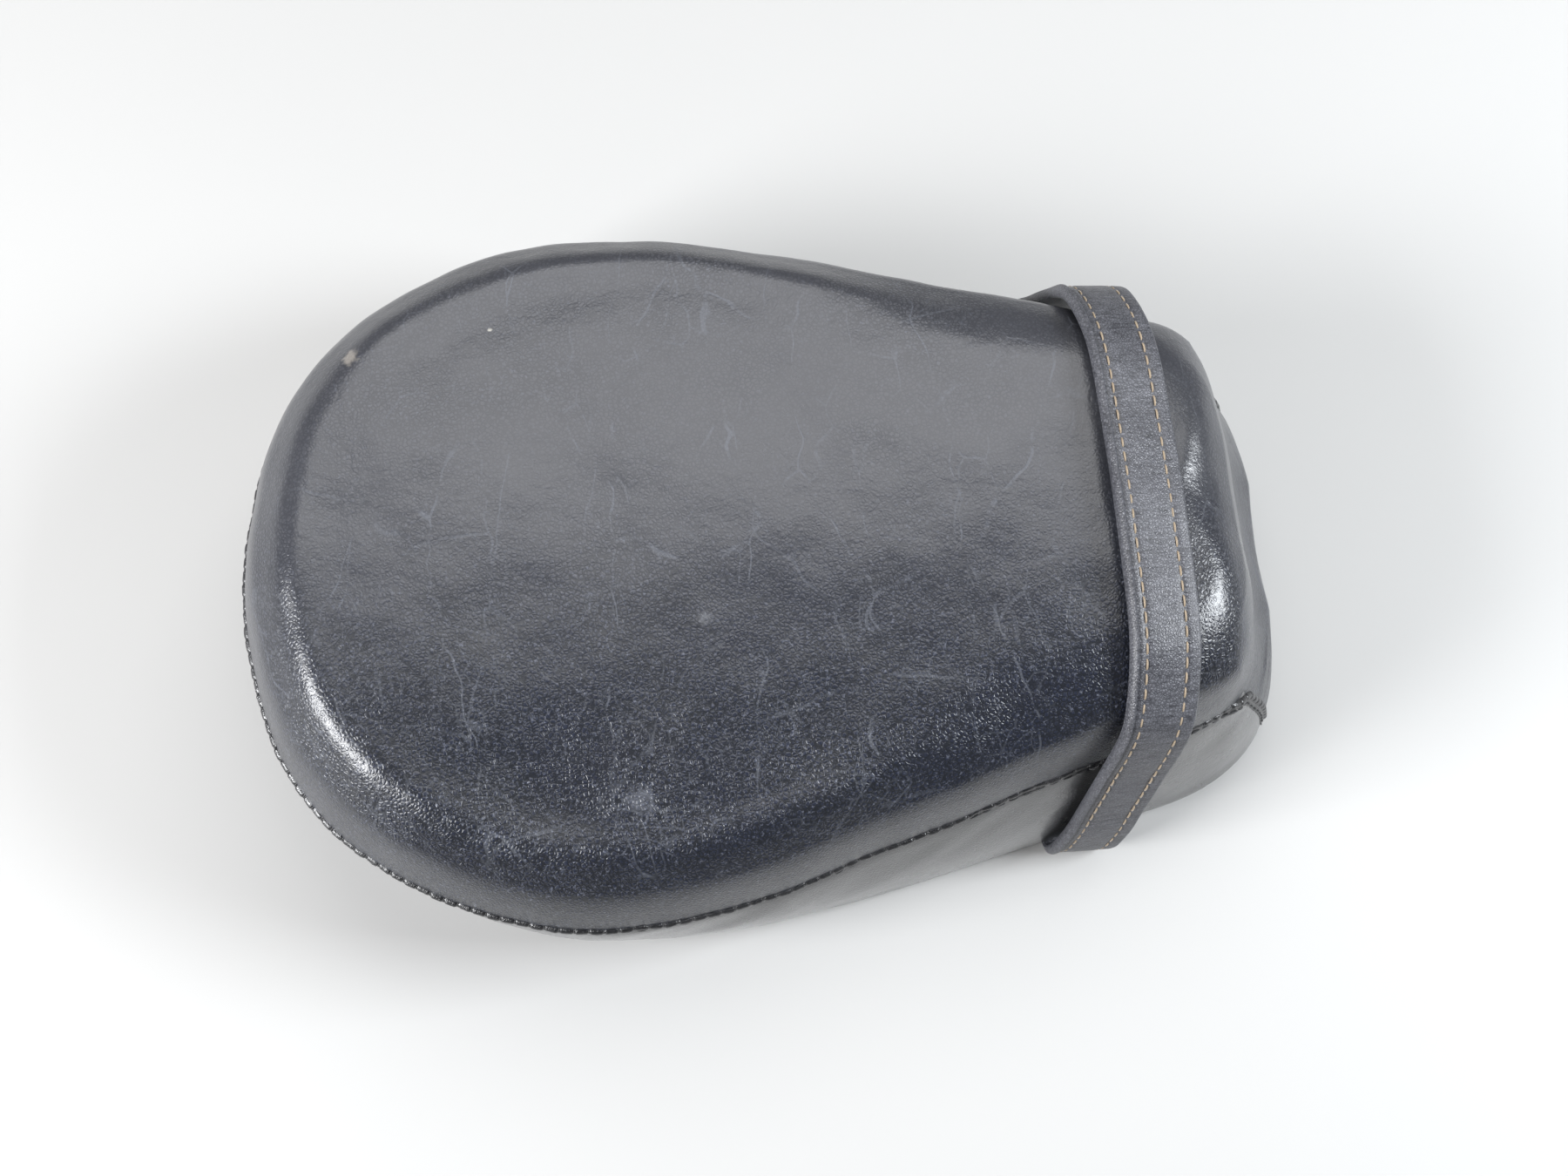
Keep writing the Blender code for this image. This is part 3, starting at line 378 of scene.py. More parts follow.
def closed_sheet(outside, inside, cells, crown):
    """Vertices and faces of a sheet with thickness over the chosen grid cells."""
    count = outside.shape[1]
    faces = []
    for row, column in cells:
        n = (column + 1) % count
        lower = row * count
        upper = lower + count
        faces.append((lower + column, lower + n, upper + n, upper + column))
    if crown:
        last = (outside.shape[0] - 1) * count
        for k in range(count // 2):
            across = (k, k + 1, (count - k - 1) % count, (count - k) % count)
            faces.append(tuple(last + c for c in dict.fromkeys(across)))
    edges = {}
    for face in faces:
        for a, b in zip(face, face[1:] + face[:1]):
            edges[(a, b)] = edges.get((a, b), 0) + 1
    border = [(a, b) for a, b in edges if (b, a) not in edges]
    total = outside.shape[0] * count
    thick = [tuple(total + v for v in reversed(face)) for face in faces]
    walls = [(b, a, a + total, b + total) for a, b in border]
    vertices = np.concatenate([outside.reshape(-1, 3), inside.reshape(-1, 3)])
    every = faces + thick + walls
    used = sorted({v for face in every for v in face})
    renumber = {old: new for new, old in enumerate(used)}
    return vertices[used], [tuple(renumber[v] for v in face) for face in every]


def side_columns():
    corner = sum(COLUMN_COUNTS[:3])
    return [column % COLUMN_TOTAL for column in range(-corner, corner)]


def tube(rings):
    """Closed skin over equal rings of points, with capped ends."""
    rings = np.array(rings)
    count, size = rings.shape[:2]
    faces = []
    for k in range(count - 1):
        for j in range(size):
            n = (j + 1) % size
            faces.append((k * size + j, k * size + n, (k + 1) * size + n, (k + 1) * size + j))
    faces.append(tuple(range(size))[::-1])
    faces.append(tuple(range((count - 1) * size, count * size)))
    return rings.reshape(-1, 3), faces


def joined(parts):
    vertices = []
    faces = []
    for points, polygons in parts:
        base = len(vertices)
        vertices.extend(points)
        faces.extend(tuple(base + v for v in polygon) for polygon in polygons)
    return vertices, faces


def resample(points, step):
    arc = np.concatenate([[0.0], np.cumsum(np.linalg.norm(np.diff(points, axis=0), axis=1))])
    count = max(int(round(arc[-1] / step)), 2)
    stations = np.linspace(0.0, arc[-1], count + 1)
    return np.column_stack([np.interp(stations, arc, points[:, axis]) for axis in range(points.shape[1])])


def smoothed(points, passes):
    points = points.copy()
    for _ in range(passes):
        points[1:-1] = (points[:-2] + 2.0 * points[1:-1] + points[2:]) / 4.0
    return points


# Seam -------------------------------------------------------------------------------------------

def seam_line(rows):
    """Line of the seam: down one front corner, round the sides and rear, up and down the other."""
    corner = sum(COLUMN_COUNTS[:3])
    around = [rows[SEAM_ROW, c % COLUMN_TOTAL] for c in range(-corner + 5, corner - 4)]
    down = range(SEAM_ROW - 4, RIM_ROW - 1, -1)
    first = [rows[r, -corner % COLUMN_TOTAL] for r in reversed(down)]
    last = [rows[r, corner] for r in down]
    line = resample(np.array(first + around + last), BAND_STEP)
    return resample(smoothed(line, 60), BAND_STEP)


def frames_on(surface, line):
    """Tangent, outward normal and sideways direction at each point of a line on the cover."""
    tangent = np.gradient(line, axis=0)
    tangent /= np.linalg.norm(tangent, axis=1)[:, None]
    placed = []
    normals = []
    for point in line:
        location, normal, _, _ = surface.find_nearest(Vector(point))
        placed.append(tuple(location))
        facing = 1.0 if normal.dot(Vector(point) - CUSHION_HEART) > 0.0 else -1.0
        normals.append(tuple(normal * facing))
    normals = np.array(normals)
    for _ in range(30):
        normals[1:-1] = (normals[:-2] + normals[1:-1] + normals[2:]) / 3.0
    normals -= np.sum(normals * tangent, axis=1)[:, None] * tangent
    normals /= np.linalg.norm(normals, axis=1)[:, None]
    return np.array(placed), tangent, normals, np.cross(tangent, normals)


def band_height(across, phase):
    """Height of the felled seam: a plump upper roll pinched at each stitch over a flat stitched strip."""
    roll = np.clip(1.0 - ((across - ROLL_AT) / ROLL_HALF) ** 2, 0.0, 1.0) ** 0.5
    pinch = 1.0 - 0.50 * math.exp(-((phase - 0.5) / 0.085) ** 2)
    strip = np.clip(1.0 - ((across + 0.0006) / (BAND_HALF - 0.0004)) ** 8, 0.0, 1.0) * STRIP_HEIGHT
    row = 1.0 - 0.45 * math.exp(-((across - STITCH_ROW) / 0.0005) ** 2)
    return max(BAND_HEIGHT * roll * pinch, strip * row)


def make_seam(rows, surface, material, thread):
    line, tangent, normal, side = frames_on(surface, seam_line(rows))
    arc = np.arange(len(line)) * BAND_STEP
    phase = (arc / STITCH_PITCH) % 1.0
    across = np.linspace(-BAND_HALF, BAND_HALF, 17)
    rings = []
    for k in range(len(line)):
        unit = 1.0 - 0.10 * math.exp(-((phase[k] - 0.5) / 0.12) ** 2)
        top = [line[k] + side[k] * a * unit + normal[k] * (band_height(a, phase[k]) - BAND_TUCK)
               for a in across]
        floor = [line[k] + side[k] * a - normal[k] * BAND_SINK for a in (BAND_HALF * 0.9, -BAND_HALF * 0.9)]
        rings.append(top + floor)
    vertices, faces = tube(rings)
    add_piece("seam_band", vertices, faces, material, "seat", 70.0)
    stitches = []
    per_stitch = int(round(STITCH_PITCH / BAND_STEP))
    for start in range(per_stitch // 2, len(line) - per_stitch, per_stitch):
        stitches.append(stitch(line, normal, side, start, per_stitch, STITCH_ROW, STRIP_HEIGHT))
        stitches.append(cross_bar(line[start], tangent[start], normal[start], side[start]))
    vertices, faces = joined(stitches)
    add_piece("seam_threads", vertices, faces, thread, "seat", 80.0)


def cross_bar(point, tangent, normal, side):
    """Thread laid over the roll of the seam at a needle hole."""
    rings = []
    for turn_share in np.linspace(-1.0, 1.0, 7):
        across = ROLL_AT + ROLL_HALF * 0.98 * turn_share
        lift = BAND_HEIGHT * 0.55 * math.sqrt(max(1.0 - turn_share ** 2, 0.0)) + 0.0001
        centre = point + side * across + normal * lift
        size = SEAM_THREAD_RADIUS * (1.0 - 0.5 * turn_share ** 4)
        rings.append([centre + tangent * size * math.cos(a) + normal * size * math.sin(a)
                      for a in np.arange(8) * math.pi / 4.0])
    return tube(rings)


def stitch(line, normal, side, start, count, across, lift, radius=SEAM_THREAD_RADIUS):
    """One thread between two needle holes: a short arched capsule that dives at both ends."""
    rings = []
    first = start + 0.08 * count
    last = start + 0.92 * count
    for share in (0.0, 0.06, 0.2, 0.5, 0.8, 0.94, 1.0):
        at = first + (last - first) * share
        k = min(int(at), len(line) - 2)
        f = at - k
        point = line[k] * (1.0 - f) + line[k + 1] * f
        ends = 1.0 - abs(2.0 * share - 1.0) ** 4
        size = radius * (0.45 + 0.55 * ends)
        height = lift - 0.0009 * (1.0 - ends) + radius * 0.3
        centre = point + side[k] * across + normal[k] * height
        rings.append([centre + side[k] * size * math.cos(a) + normal[k] * size * math.sin(a)
                      for a in np.arange(8) * math.pi / 4.0])
    return tube(rings)


# Strap ------------------------------------------------------------------------------------------

def lean_point(y, along, across=0.0):
    sine = math.sin(STRAP_LEAN)
    cosine = math.cos(STRAP_LEAN)
    return HINGE + Vector((along * sine + across * cosine, y, along * cosine - across * sine))


def along_of(z):
    return (z - HINGE.z) / math.cos(STRAP_LEAN)


def cushion_reach(surface, angle, origin):
    direction = lean_point(math.cos(angle), math.sin(angle)) - HINGE
    reach = 0.0
    for across in (-0.52, -0.26, 0.0, 0.26, 0.52):
        start = lean_point(0.0, origin, across * STRAP_WIDTH)
        distance = surface.ray_cast(start, direction)[3]
        reach = max(reach, distance)
    return reach


def turn(first, second, third):
    ahead = (second[0] - first[0], second[1] - first[1])
    beyond = (third[0] - second[0], third[1] - second[1])
    return ahead[0] * beyond[1] - ahead[1] * beyond[0]


def pan_underside(y):
    return RIM_BOTTOM + COVER_THICK + 0.0003 + float(channel(y))


def strap_path(surface):
    """Taut line (y, along, thickness) from one flat end, up a leg, over the cushion and down again."""
    origin = 0.045
    offset = STRAP_STANDOFF + STRAP_THICK / 2.0
    points = []
    for degrees in range(-24, 91, 2):
        angle = math.radians(degrees)
        reach = cushion_reach(surface, angle, origin) + offset
        points.append((reach * math.cos(angle), origin + reach * math.sin(angle)))
    foot_y = max(y for y, _ in points)
    hull = [(foot_y, 0.0)]
    for point in points:
        if point[1] <= 0.0:
            continue
        while len(hull) > 1 and turn(hull[-2], hull[-1], point) <= 0.0:
            hull.pop()
        hull.append(point)
    flat = along_of(RIM_BOTTOM - 0.0003 - STRAP_END_THICK / 2.0)
    drop = 0.0003 + STRAP_END_THICK / 2.0 + 0.0002
    slope = LAND_EDGE - 0.001
    end = [(STRAP_END_INNER, along_of(pan_underside(STRAP_END_INNER) - drop)),
           (slope, along_of(pan_underside(slope) - drop)),
           (LAND_EDGE + 0.005, flat),
           (foot_y - 0.003, flat),
           (foot_y - 0.0005, flat + 0.0025)]
    left = resample(np.array(end + hull), 0.0008)
    soft = smoothed(left, STRAP_EASE)
    share = np.clip((left[:, 1:] - 0.020) / 0.020, 0.0, 1.0)
    left = smoothed(left, 12) * (1.0 - share) + soft * share
    left[-1, 0] = 0.0
    mirrored = left[:-1][::-1] * (-1.0, 1.0)
    path = resample(np.concatenate([left, mirrored]), 0.0014)
    rise = np.clip((path[:, 1] + 0.010) / 0.016, 0.0, 1.0)
    thick = STRAP_END_THICK + (STRAP_THICK - STRAP_END_THICK) * rise ** 2 * (3.0 - 2.0 * rise)
    return np.column_stack([path, thick])


def strap_profile(across):
    """Extra height of the strap's outside over half its thickness."""
    dome = 0.00025 * (1.0 - (across / 0.0125) ** 2)
    stitched = sum(-0.00045 * math.exp(-((across - row) / 0.0007) ** 2) for row in STRAP_ROWS)
    lip = 0.0009 * math.exp(-((across + 0.0110) / 0.0010) ** 4)
    lip -= 0.0003 * math.exp(-((across + 0.0096) / 0.0004) ** 2)
    welt = 0.00035 * math.exp(-((across - 0.0114) / 0.0007) ** 2)
    return dome + stitched + lip + welt


def strap_frames(path):
    flat = path[:, :2]
    tangent = np.gradient(flat, axis=0)
    tangent /= np.linalg.norm(tangent, axis=1)[:, None]
    return np.column_stack([tangent[:, 1], -tangent[:, 0]])


def strap_spot(path, outward, k, across, lift):
    y, along = path[k, :2]
    point = lean_point(y + outward[k][0] * lift, along + outward[k][1] * lift, across)
    return np.array(point)


def make_strap(surface, material, thread):
    path = strap_path(surface)
    outward = strap_frames(path)
    if outward[len(path) // 2][1] < 0.0:
        outward = -outward
    half = STRAP_WIDTH / 2.0
    rear_edge = [-half, -half + 0.0004, -half + 0.0011]
    middle = np.linspace(-half + 0.0019, half - 0.0017, 27)
    front_edge = [half - 0.0010, half - 0.0004, half]
    upper = np.concatenate([rear_edge, middle, front_edge])
    rings = []
    for k in range(len(path)):
        thick = path[k, 2] / 2.0
        worn = 0.00018 * math.sin(k * 0.11) + 0.00012 * math.sin(k * 0.37 + 1.0)
        ring = []
        for a in upper:
            edge = math.sqrt(max(1.0 - (abs(a) / half) ** 14, 0.0))
            lift = -0.35 * thick + (1.35 * thick + strap_profile(a)) * edge + worn * edge
            ring.append(strap_spot(path, outward, k, a, lift))
        for a in (half - 0.0006, half * 0.5, -half * 0.5, -half + 0.0006):
            ring.append(strap_spot(path, outward, k, a, -thick))
        rings.append(ring)
    vertices, faces = tube(rings)
    strap = add_piece("strap", vertices, faces, material, None, 50.0)
    stitches = []
    step = np.linalg.norm(np.diff(path[:, :2], axis=0), axis=1).mean()
    per_stitch = STITCH_PITCH / step
    count = int((len(path) - 8) / per_stitch)
    for row in STRAP_ROWS:
        lifts = path[:, 2] / 2.0
        line = np.array([strap_spot(path, outward, k, row, lift) for k, lift in enumerate(lifts)])
        above = [strap_spot(path, outward, k, row, lift + 1.0) for k, lift in enumerate(lifts)]
        normal = np.array(above) - line
        side = np.cross(np.gradient(line, axis=0), normal)
        side /= np.linalg.norm(side, axis=1)[:, None]
        for j in range(count):
            stitches.append(stitch(line, normal, side, 3 + j * per_stitch, per_stitch, 0.0, 0.0000,
                                   STRAP_THREAD_RADIUS))
    vertices, faces = joined(stitches)
    threads = add_piece("strap_threads", vertices, faces, thread, None, 80.0)
    for piece in (strap, threads):
        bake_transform(piece)
    return strap


# Materials --------------------------------------------------------------------------------------

class Graph:
    """Short hand for building a node tree."""

    def __init__(self, name):
        self.material = bpy.data.materials.new(name)
        self.material.use_nodes = True
        self.tree = self.material.node_tree
        self.shader = self.tree.nodes["Principled BSDF"]
        self.coords = self.tree.nodes.new("ShaderNodeTexCoord").outputs["Object"]

    def node(self, kind, **inputs):
        node = self.tree.nodes.new(kind)
        for key, value in inputs.items():
            self.feed(node.inputs[key.replace("_", " ")], value)
        return node

    def feed(self, socket, value):
        if isinstance(value, bpy.types.NodeSocket):
            self.tree.links.new(value, socket)
        else:
            socket.default_value = value

    def stretched(self, scale, turn_z=0.0):
        node = self.node("ShaderNodeMapping", Vector=self.coords, Scale=scale, Rotation=(0.0, 0.0, turn_z))
        return node.outputs["Vector"]

    def noise(self, scale, detail=3.0, rough=0.55, vector=None, warp=0.0):
        node = self.node("ShaderNodeTexNoise", Vector=vector or self.coords, Scale=scale, Detail=detail,
                         Roughness=rough, Distortion=warp)
        return node.outputs["Fac"]

    def warped(self, scale, reach):
        """Object coordinates shaken by a noise, so that cell borders aren't straight."""
        shake = self.node("ShaderNodeTexNoise", Vector=self.coords, Scale=scale, Detail=2.0)
        centred = self.tree.nodes.new("ShaderNodeVectorMath")
        centred.operation = "MULTIPLY_ADD"
        self.feed(centred.inputs[0], shake.outputs["Color"])
        centred.inputs[1].default_value = (reach, reach, reach)
        self.feed(centred.inputs[2], self.coords)
        return centred.outputs["Vector"]

    def cells(self, scale, feature="DISTANCE_TO_EDGE", vector=None):
        node = self.node("ShaderNodeTexVoronoi", Vector=vector or self.coords, Scale=scale)
        node.feature = feature
        return node.outputs["Distance"]

    def lines(self, scale, stretch, turn_z, reach, width):
        """Thin wandering lines: the borders of large stretched cells."""
        node = self.node("ShaderNodeMapping", Vector=self.warped(38.0, reach), Scale=stretch,
                         Rotation=(0.0, 0.0, turn_z))
        away = self.cells(scale, vector=node.outputs["Vector"])
        return self.remap(away, width * scale * 0.35, width * scale, 1.0, 0.0)

    def math(self, operation, a, b=0.0, clamp=False):
        node = self.tree.nodes.new("ShaderNodeMath")
        node.operation = operation
        node.use_clamp = clamp
        self.feed(node.inputs[0], a)
        self.feed(node.inputs[1], b)
        return node.outputs[0]

    def remap(self, value, low, high, to_low=0.0, to_high=1.0):
        node = self.tree.nodes.new("ShaderNodeMapRange")
        node.interpolation_type = "SMOOTHSTEP"
        for socket, item in zip(node.inputs, (value, low, high, to_low, to_high)):
            self.feed(socket, item)
        return node.outputs[0]

    def mix(self, share, first, second):
        node = self.tree.nodes.new("ShaderNodeMix")
        node.data_type = "RGBA"
        self.feed(node.inputs[0], share)
        self.feed(node.inputs[6], first)
        self.feed(node.inputs[7], second)
        return node.outputs[2]

    def bump(self, height, distance, strength=1.0, normal=None):
        node = self.node("ShaderNodeBump", Height=height, Distance=distance, Strength=strength)
        if normal:
            self.feed(node.inputs["Normal"], normal)
        return node.outputs["Normal"]

    def spot(self, centre, size, scale=300.0):
        """1 inside a ragged spot round a point, 0 outside."""
        node = self.node("ShaderNodeVectorMath", Vector=self.coords)
        node.operation = "DISTANCE"
        self.feed(node.inputs[1], centre)
        ragged = self.math("MULTIPLY", self.math("SUBTRACT", self.noise(scale, 4.0, 0.7), 0.5), size * 1.6)
        return self.remap(self.math("ADD", node.outputs["Value"], ragged), size * 0.35, size, 1.0, 0.0)

    def band(self, axis, low, high):
        node = self.node("ShaderNodeSeparateXYZ", Vector=self.coords)
        return self.remap(node.outputs[axis], low, high)


def colour(red, green, blue):
    return (red, green, blue, 1.0)


def worn_and_painted_shade_leather():
    """Top panel: pebbled black hide with pale cracks and scuffs; its tone is painted lighter grey on the
    far side as sheen and darker, bluer on the near side as shade.
    """
    g = Graph("worn_black_leather_painted_shade")
    patches = g.noise(15.0, 5.0, 0.62)
    clouds = g.noise(70.0, 4.0, 0.65)
    # painted shade mask: 0 on the far side (y 0.030) rising to 1 on the near side (y -0.070), broken up by
    # the clouds; it also raises the grain's crispness
    near_shade_mask = g.math("MULTIPLY", g.band(1, 0.030, -0.070), g.remap(clouds, 0.2, 0.55, 0.75, 1.0))
    crisp = g.math("ADD", g.math("MULTIPLY", near_shade_mask, 0.65), g.remap(patches, 0.35, 0.7, 0.20, 0.50))
    pebble = g.remap(g.cells(720.0, vector=g.warped(420.0, 0.0006)), 0.02, 0.36)
    fine = g.noise(1900.0, 3.0, 0.65)
    folds = g.noise(150.0, 5.0, 0.60, warp=0.4)
    long_cracks = g.lines(24.0, (1.0, 0.36, 1.0), 0.12, 0.016, 0.00042)
    cross_cracks = g.lines(42.0, (0.9, 0.45, 1.0), 0.80, 0.010, 0.00032)
    crazing = g.remap(g.cells(150.0, vector=g.warped(90.0, 0.006)), 0.015, 0.055, 1.0, 0.0)
    gaps = g.remap(g.noise(48.0, 4.0, 0.7), 0.44, 0.60)
    crack = g.math("MAXIMUM", long_cracks, g.math("MULTIPLY", cross_cracks, 0.65))
    crack = g.math("MULTIPLY", crack, gaps)
    craze = g.math("MULTIPLY", crazing, g.math("MULTIPLY", gaps, crisp))
    crack = g.math("MAXIMUM", crack, g.math("MULTIPLY", craze, 0.55))
    # pale bluish flecks on the grain are painted glints, strongest on the near side
    painted_glints = g.math("MULTIPLY", g.remap(g.noise(780.0, 3.0, 0.75), 0.56, 0.70), crisp)
    # painted light and shade: the far side gets a lighter grey tone as its sheen, the near side a darker,
    # bluer tone as its shade
    far_painted_sheen_tone = g.mix(patches, colour(0.028, 0.029, 0.035), colour(0.062, 0.063, 0.071))
    near_painted_shade_tone = g.mix(clouds, colour(0.003, 0.004, 0.009), colour(0.018, 0.022, 0.038))
    tone = g.mix(near_shade_mask, far_painted_sheen_tone, near_painted_shade_tone)
    # painted shade in the pits between the pebbles, strongest on the near side
    pit_painted_shade = g.math("MULTIPLY", g.remap(pebble, 0.0, 0.55, 1.0, 0.0), crisp)
    tone = g.mix(pit_painted_shade, tone, colour(0.008, 0.009, 0.012))
    tone = g.mix(g.math("MULTIPLY", painted_glints, 0.55), tone, colour(0.125, 0.135, 0.175))
    tone = g.mix(g.math("MULTIPLY", crack, 0.20), tone, colour(0.165, 0.178, 0.210))
    for centre, size, strength, shade in SCUFFS:
        tone = g.mix(g.math("MULTIPLY", g.spot(centre, size), strength), tone, shade)
    rough = g.math("ADD", g.remap(patches, 0.3, 0.7, 0.27, 0.37), g.math("MULTIPLY", crack, 0.12))
    g.feed(g.shader.inputs["Base Color"], tone)
    g.feed(g.shader.inputs["Roughness"], rough)
    g.shader.inputs["Specular IOR Level"].default_value = 0.42
    g.shader.inputs["Coat Weight"].default_value = 0.38
    g.shader.inputs["Coat Roughness"].default_value = 0.24
    folded = g.bump(g.math("SUBTRACT", folds, g.math("MULTIPLY", crack, 0.10)), 0.0011, 0.28)
    g.feed(g.shader.inputs["Coat Normal"], g.bump(pebble, 0.00003, crisp, folded))
    normal = g.bump(pebble, 0.00013, crisp, folded)
    g.feed(g.shader.inputs["Normal"], g.bump(fine, 0.00004, 0.8, normal))
    return g.material


SCUFFS = (
    (Vector((-0.140, 0.072, 0.092)), 0.0042, 0.38, colour(0.42, 0.38, 0.33)),
    (Vector((-0.148, -0.052, 0.092)), 0.0036, 0.65, colour(0.30, 0.30, 0.31)),
    (Vector((-0.028, -0.030, 0.096)), 0.0042, 0.20, colour(0.34, 0.35, 0.38)),
    (Vector((-0.055, -0.088, 0.094)), 0.0060, 0.22, colour(0.20, 0.21, 0.24)),
    (Vector((-0.093, 0.080, 0.093)), 0.0012, 0.80, colour(0.50, 0.48, 0.42)),
    (Vector((-0.114, 0.060, 0.093)), 0.0010, 0.70, colour(0.45, 0.44, 0.42)),
    (Vector((0.112, 0.010, 0.109)), 0.0010, 0.70, colour(0.40, 0.40, 0.40)),
)


def smooth_leather(name, dark, light, roughness, gloss, scale=760.0):
    """Side panel and seam: smoother hide with faint grain."""
    g = Graph(name)
    patches = g.noise(30.0, 4.0, 0.6)
    grain = g.remap(g.cells(scale), 0.02, 0.3)
    tone = g.mix(patches, colour(*dark), colour(*light))
    g.feed(g.shader.inputs["Base Color"], tone)
    g.feed(g.shader.inputs["Roughness"], g.remap(patches, 0.3, 0.7, roughness - 0.05, roughness + 0.06))
    g.shader.inputs["Specular IOR Level"].default_value = 0.75
    g.shader.inputs["Coat Weight"].default_value = gloss
    g.shader.inputs["Coat Roughness"].default_value = 0.22
    normal = g.bump(g.noise(120.0, 4.0, 0.6), 0.0008, 0.35)
    normal = g.bump(grain, 0.00012, 0.5, normal)
    g.feed(g.shader.inputs["Normal"], g.bump(g.noise(2400.0, 2.0), 0.00003, 0.6, normal))
    return g.material


def strap_leather():
    """Strap: grey-black hide with fine creases across its length, painted lighter on the crease ridges as
    highlight and darker in the crease hollows and grain pits as shade.
    """
    g = Graph("strap_leather_worn_painted_crease_shade")
    patches = g.noise(36.0, 5.0, 0.68)
    creases = g.noise(1.0, 4.0, 0.68, vector=g.stretched((150.0, 1100.0, 800.0)))
    grain = g.remap(g.cells(1000.0), 0.02, 0.32)
    tone = g.mix(patches, colour(0.046, 0.047, 0.055), colour(0.115, 0.117, 0.132))
    # painted highlight on the crease ridges and painted shade in the crease hollows, following the crease
    # bump
    tone = g.mix(g.remap(creases, 0.50, 0.66, 0.0, 0.60), tone, colour(0.150, 0.152, 0.172))
    tone = g.mix(g.remap(creases, 0.34, 0.46, 0.65, 0.0), tone, colour(0.013, 0.014, 0.018))
    # painted shade in the pits of the grain
    tone = g.mix(g.remap(grain, 0.0, 0.5, 0.55, 0.0), tone, colour(0.012, 0.012, 0.015))
    g.feed(g.shader.inputs["Base Color"], tone)
    g.feed(g.shader.inputs["Roughness"], g.remap(patches, 0.3, 0.7, 0.34, 0.48))
    normal = g.bump(creases, 0.00018, 0.6)
    g.feed(g.shader.inputs["Normal"], g.bump(grain, 0.00012, 0.6, normal))
    return g.material


def thread(name, first, second):
    g = Graph(name)
    twist = g.noise(1.0, 2.0, 0.5, vector=g.stretched((2600.0, 2600.0, 1400.0), 0.7))
    g.feed(g.shader.inputs["Base Color"], g.mix(twist, colour(*first), colour(*second)))
    g.shader.inputs["Roughness"].default_value = 0.6
    g.shader.inputs["Sheen Weight"].default_value = 0.3
    g.feed(g.shader.inputs["Normal"], g.bump(twist, 0.0001, 0.8))
    return g.material


def moulded(name, dark, light, roughness, grain_scale, depth):
    """Moulded plastic or rubber with a fine spark-eroded grain."""
    g = Graph(name)
    patches = g.noise(22.0, 4.0, 0.6)
    g.feed(g.shader.inputs["Base Color"], g.mix(patches, colour(*dark), colour(*light)))
    g.feed(g.shader.inputs["Roughness"], g.remap(patches, 0.3, 0.7, roughness - 0.06, roughness + 0.08))
    g.feed(g.shader.inputs["Normal"], g.bump(g.noise(grain_scale, 3.0, 0.6), depth, 0.7))
    return g.material


def metal(name, dark, light, roughness, metallic, brushed):
    """Plated or painted steel with fine marks and duller patches."""
    g = Graph(name)
    patches = g.noise(130.0, 5.0, 0.65)
    marks = g.noise(1.0, 3.0, 0.6, vector=g.stretched(brushed))
    g.feed(g.shader.inputs["Base Color"], g.mix(patches, colour(*dark), colour(*light)))
    g.shader.inputs["Metallic"].default_value = metallic
    g.feed(g.shader.inputs["Roughness"], g.remap(patches, 0.3, 0.7, roughness - 0.08, roughness + 0.14))
    g.feed(g.shader.inputs["Normal"], g.bump(marks, 0.00005, 0.5))
    return g.material


def dress_nodes(nodes):
    """Give every CAD node that stays in view a detailed material."""
    plastic = moulded("pan_plastic_grained", (0.016, 0.016, 0.018), (0.034, 0.034, 0.037),
                      0.52, 1500.0, 0.0002)
    rubber = moulded("foot_rubber_dusty", (0.012, 0.012, 0.013), (0.030, 0.029, 0.027), 0.80, 900.0, 0.0002)
    painted = metal("bracket_paint", (0.018, 0.018, 0.020), (0.045, 0.043, 0.042),
                    0.46, 0.0, (300, 900, 900))
    zinc = metal("bolt_zinc_plate", (0.42, 0.42, 0.40), (0.66, 0.66, 0.64), 0.34, 1.0, (900, 900, 200))
    brass = metal("insert_passivated", (0.44, 0.40, 0.30), (0.62, 0.58, 0.46), 0.40, 1.0, (700, 700, 700))
    plate = metal("plate_steel_brushed", (0.38, 0.38, 0.39), (0.58, 0.58, 0.59),
                  0.36, 1.0, (120, 2400, 2400))
    screw = metal("screw_steel_plated", (0.45, 0.45, 0.46), (0.62, 0.62, 0.64), 0.28, 1.0, (900, 900, 900))
    wire = metal("staple_wire", (0.50, 0.50, 0.51), (0.70, 0.70, 0.72), 0.30, 1.0, (1500, 1500, 300))
    finishes = {"base_pan": plastic, "foot_": rubber, "bracket": painted, "_bolt_": zinc, "_insert_": brass,
                "_plate_": plate, "_screw_": screw, "staple_": wire}
    for name in nodes:
        for key, material in finishes.items():
            if key in name:
                for slot in bpy.data.objects[name].material_slots:
                    slot.material = material


# Stage ------------------------------------------------------------------------------------------

def area_light(name, position, aim, size, power, tint=(1.0, 1.0, 1.0)):
    data = bpy.data.lights.new(name, "AREA")
    data.shape = "RECTANGLE"
    data.size, data.size_y = size
    data.energy = power
    data.color = tint
    light = bpy.data.objects.new(name, data)
    light.location = position
    direction = Vector(aim) - Vector(position)
    light.rotation_euler = direction.to_track_quat("-Z", "Y").to_euler()
    bpy.context.scene.collection.objects.link(light)


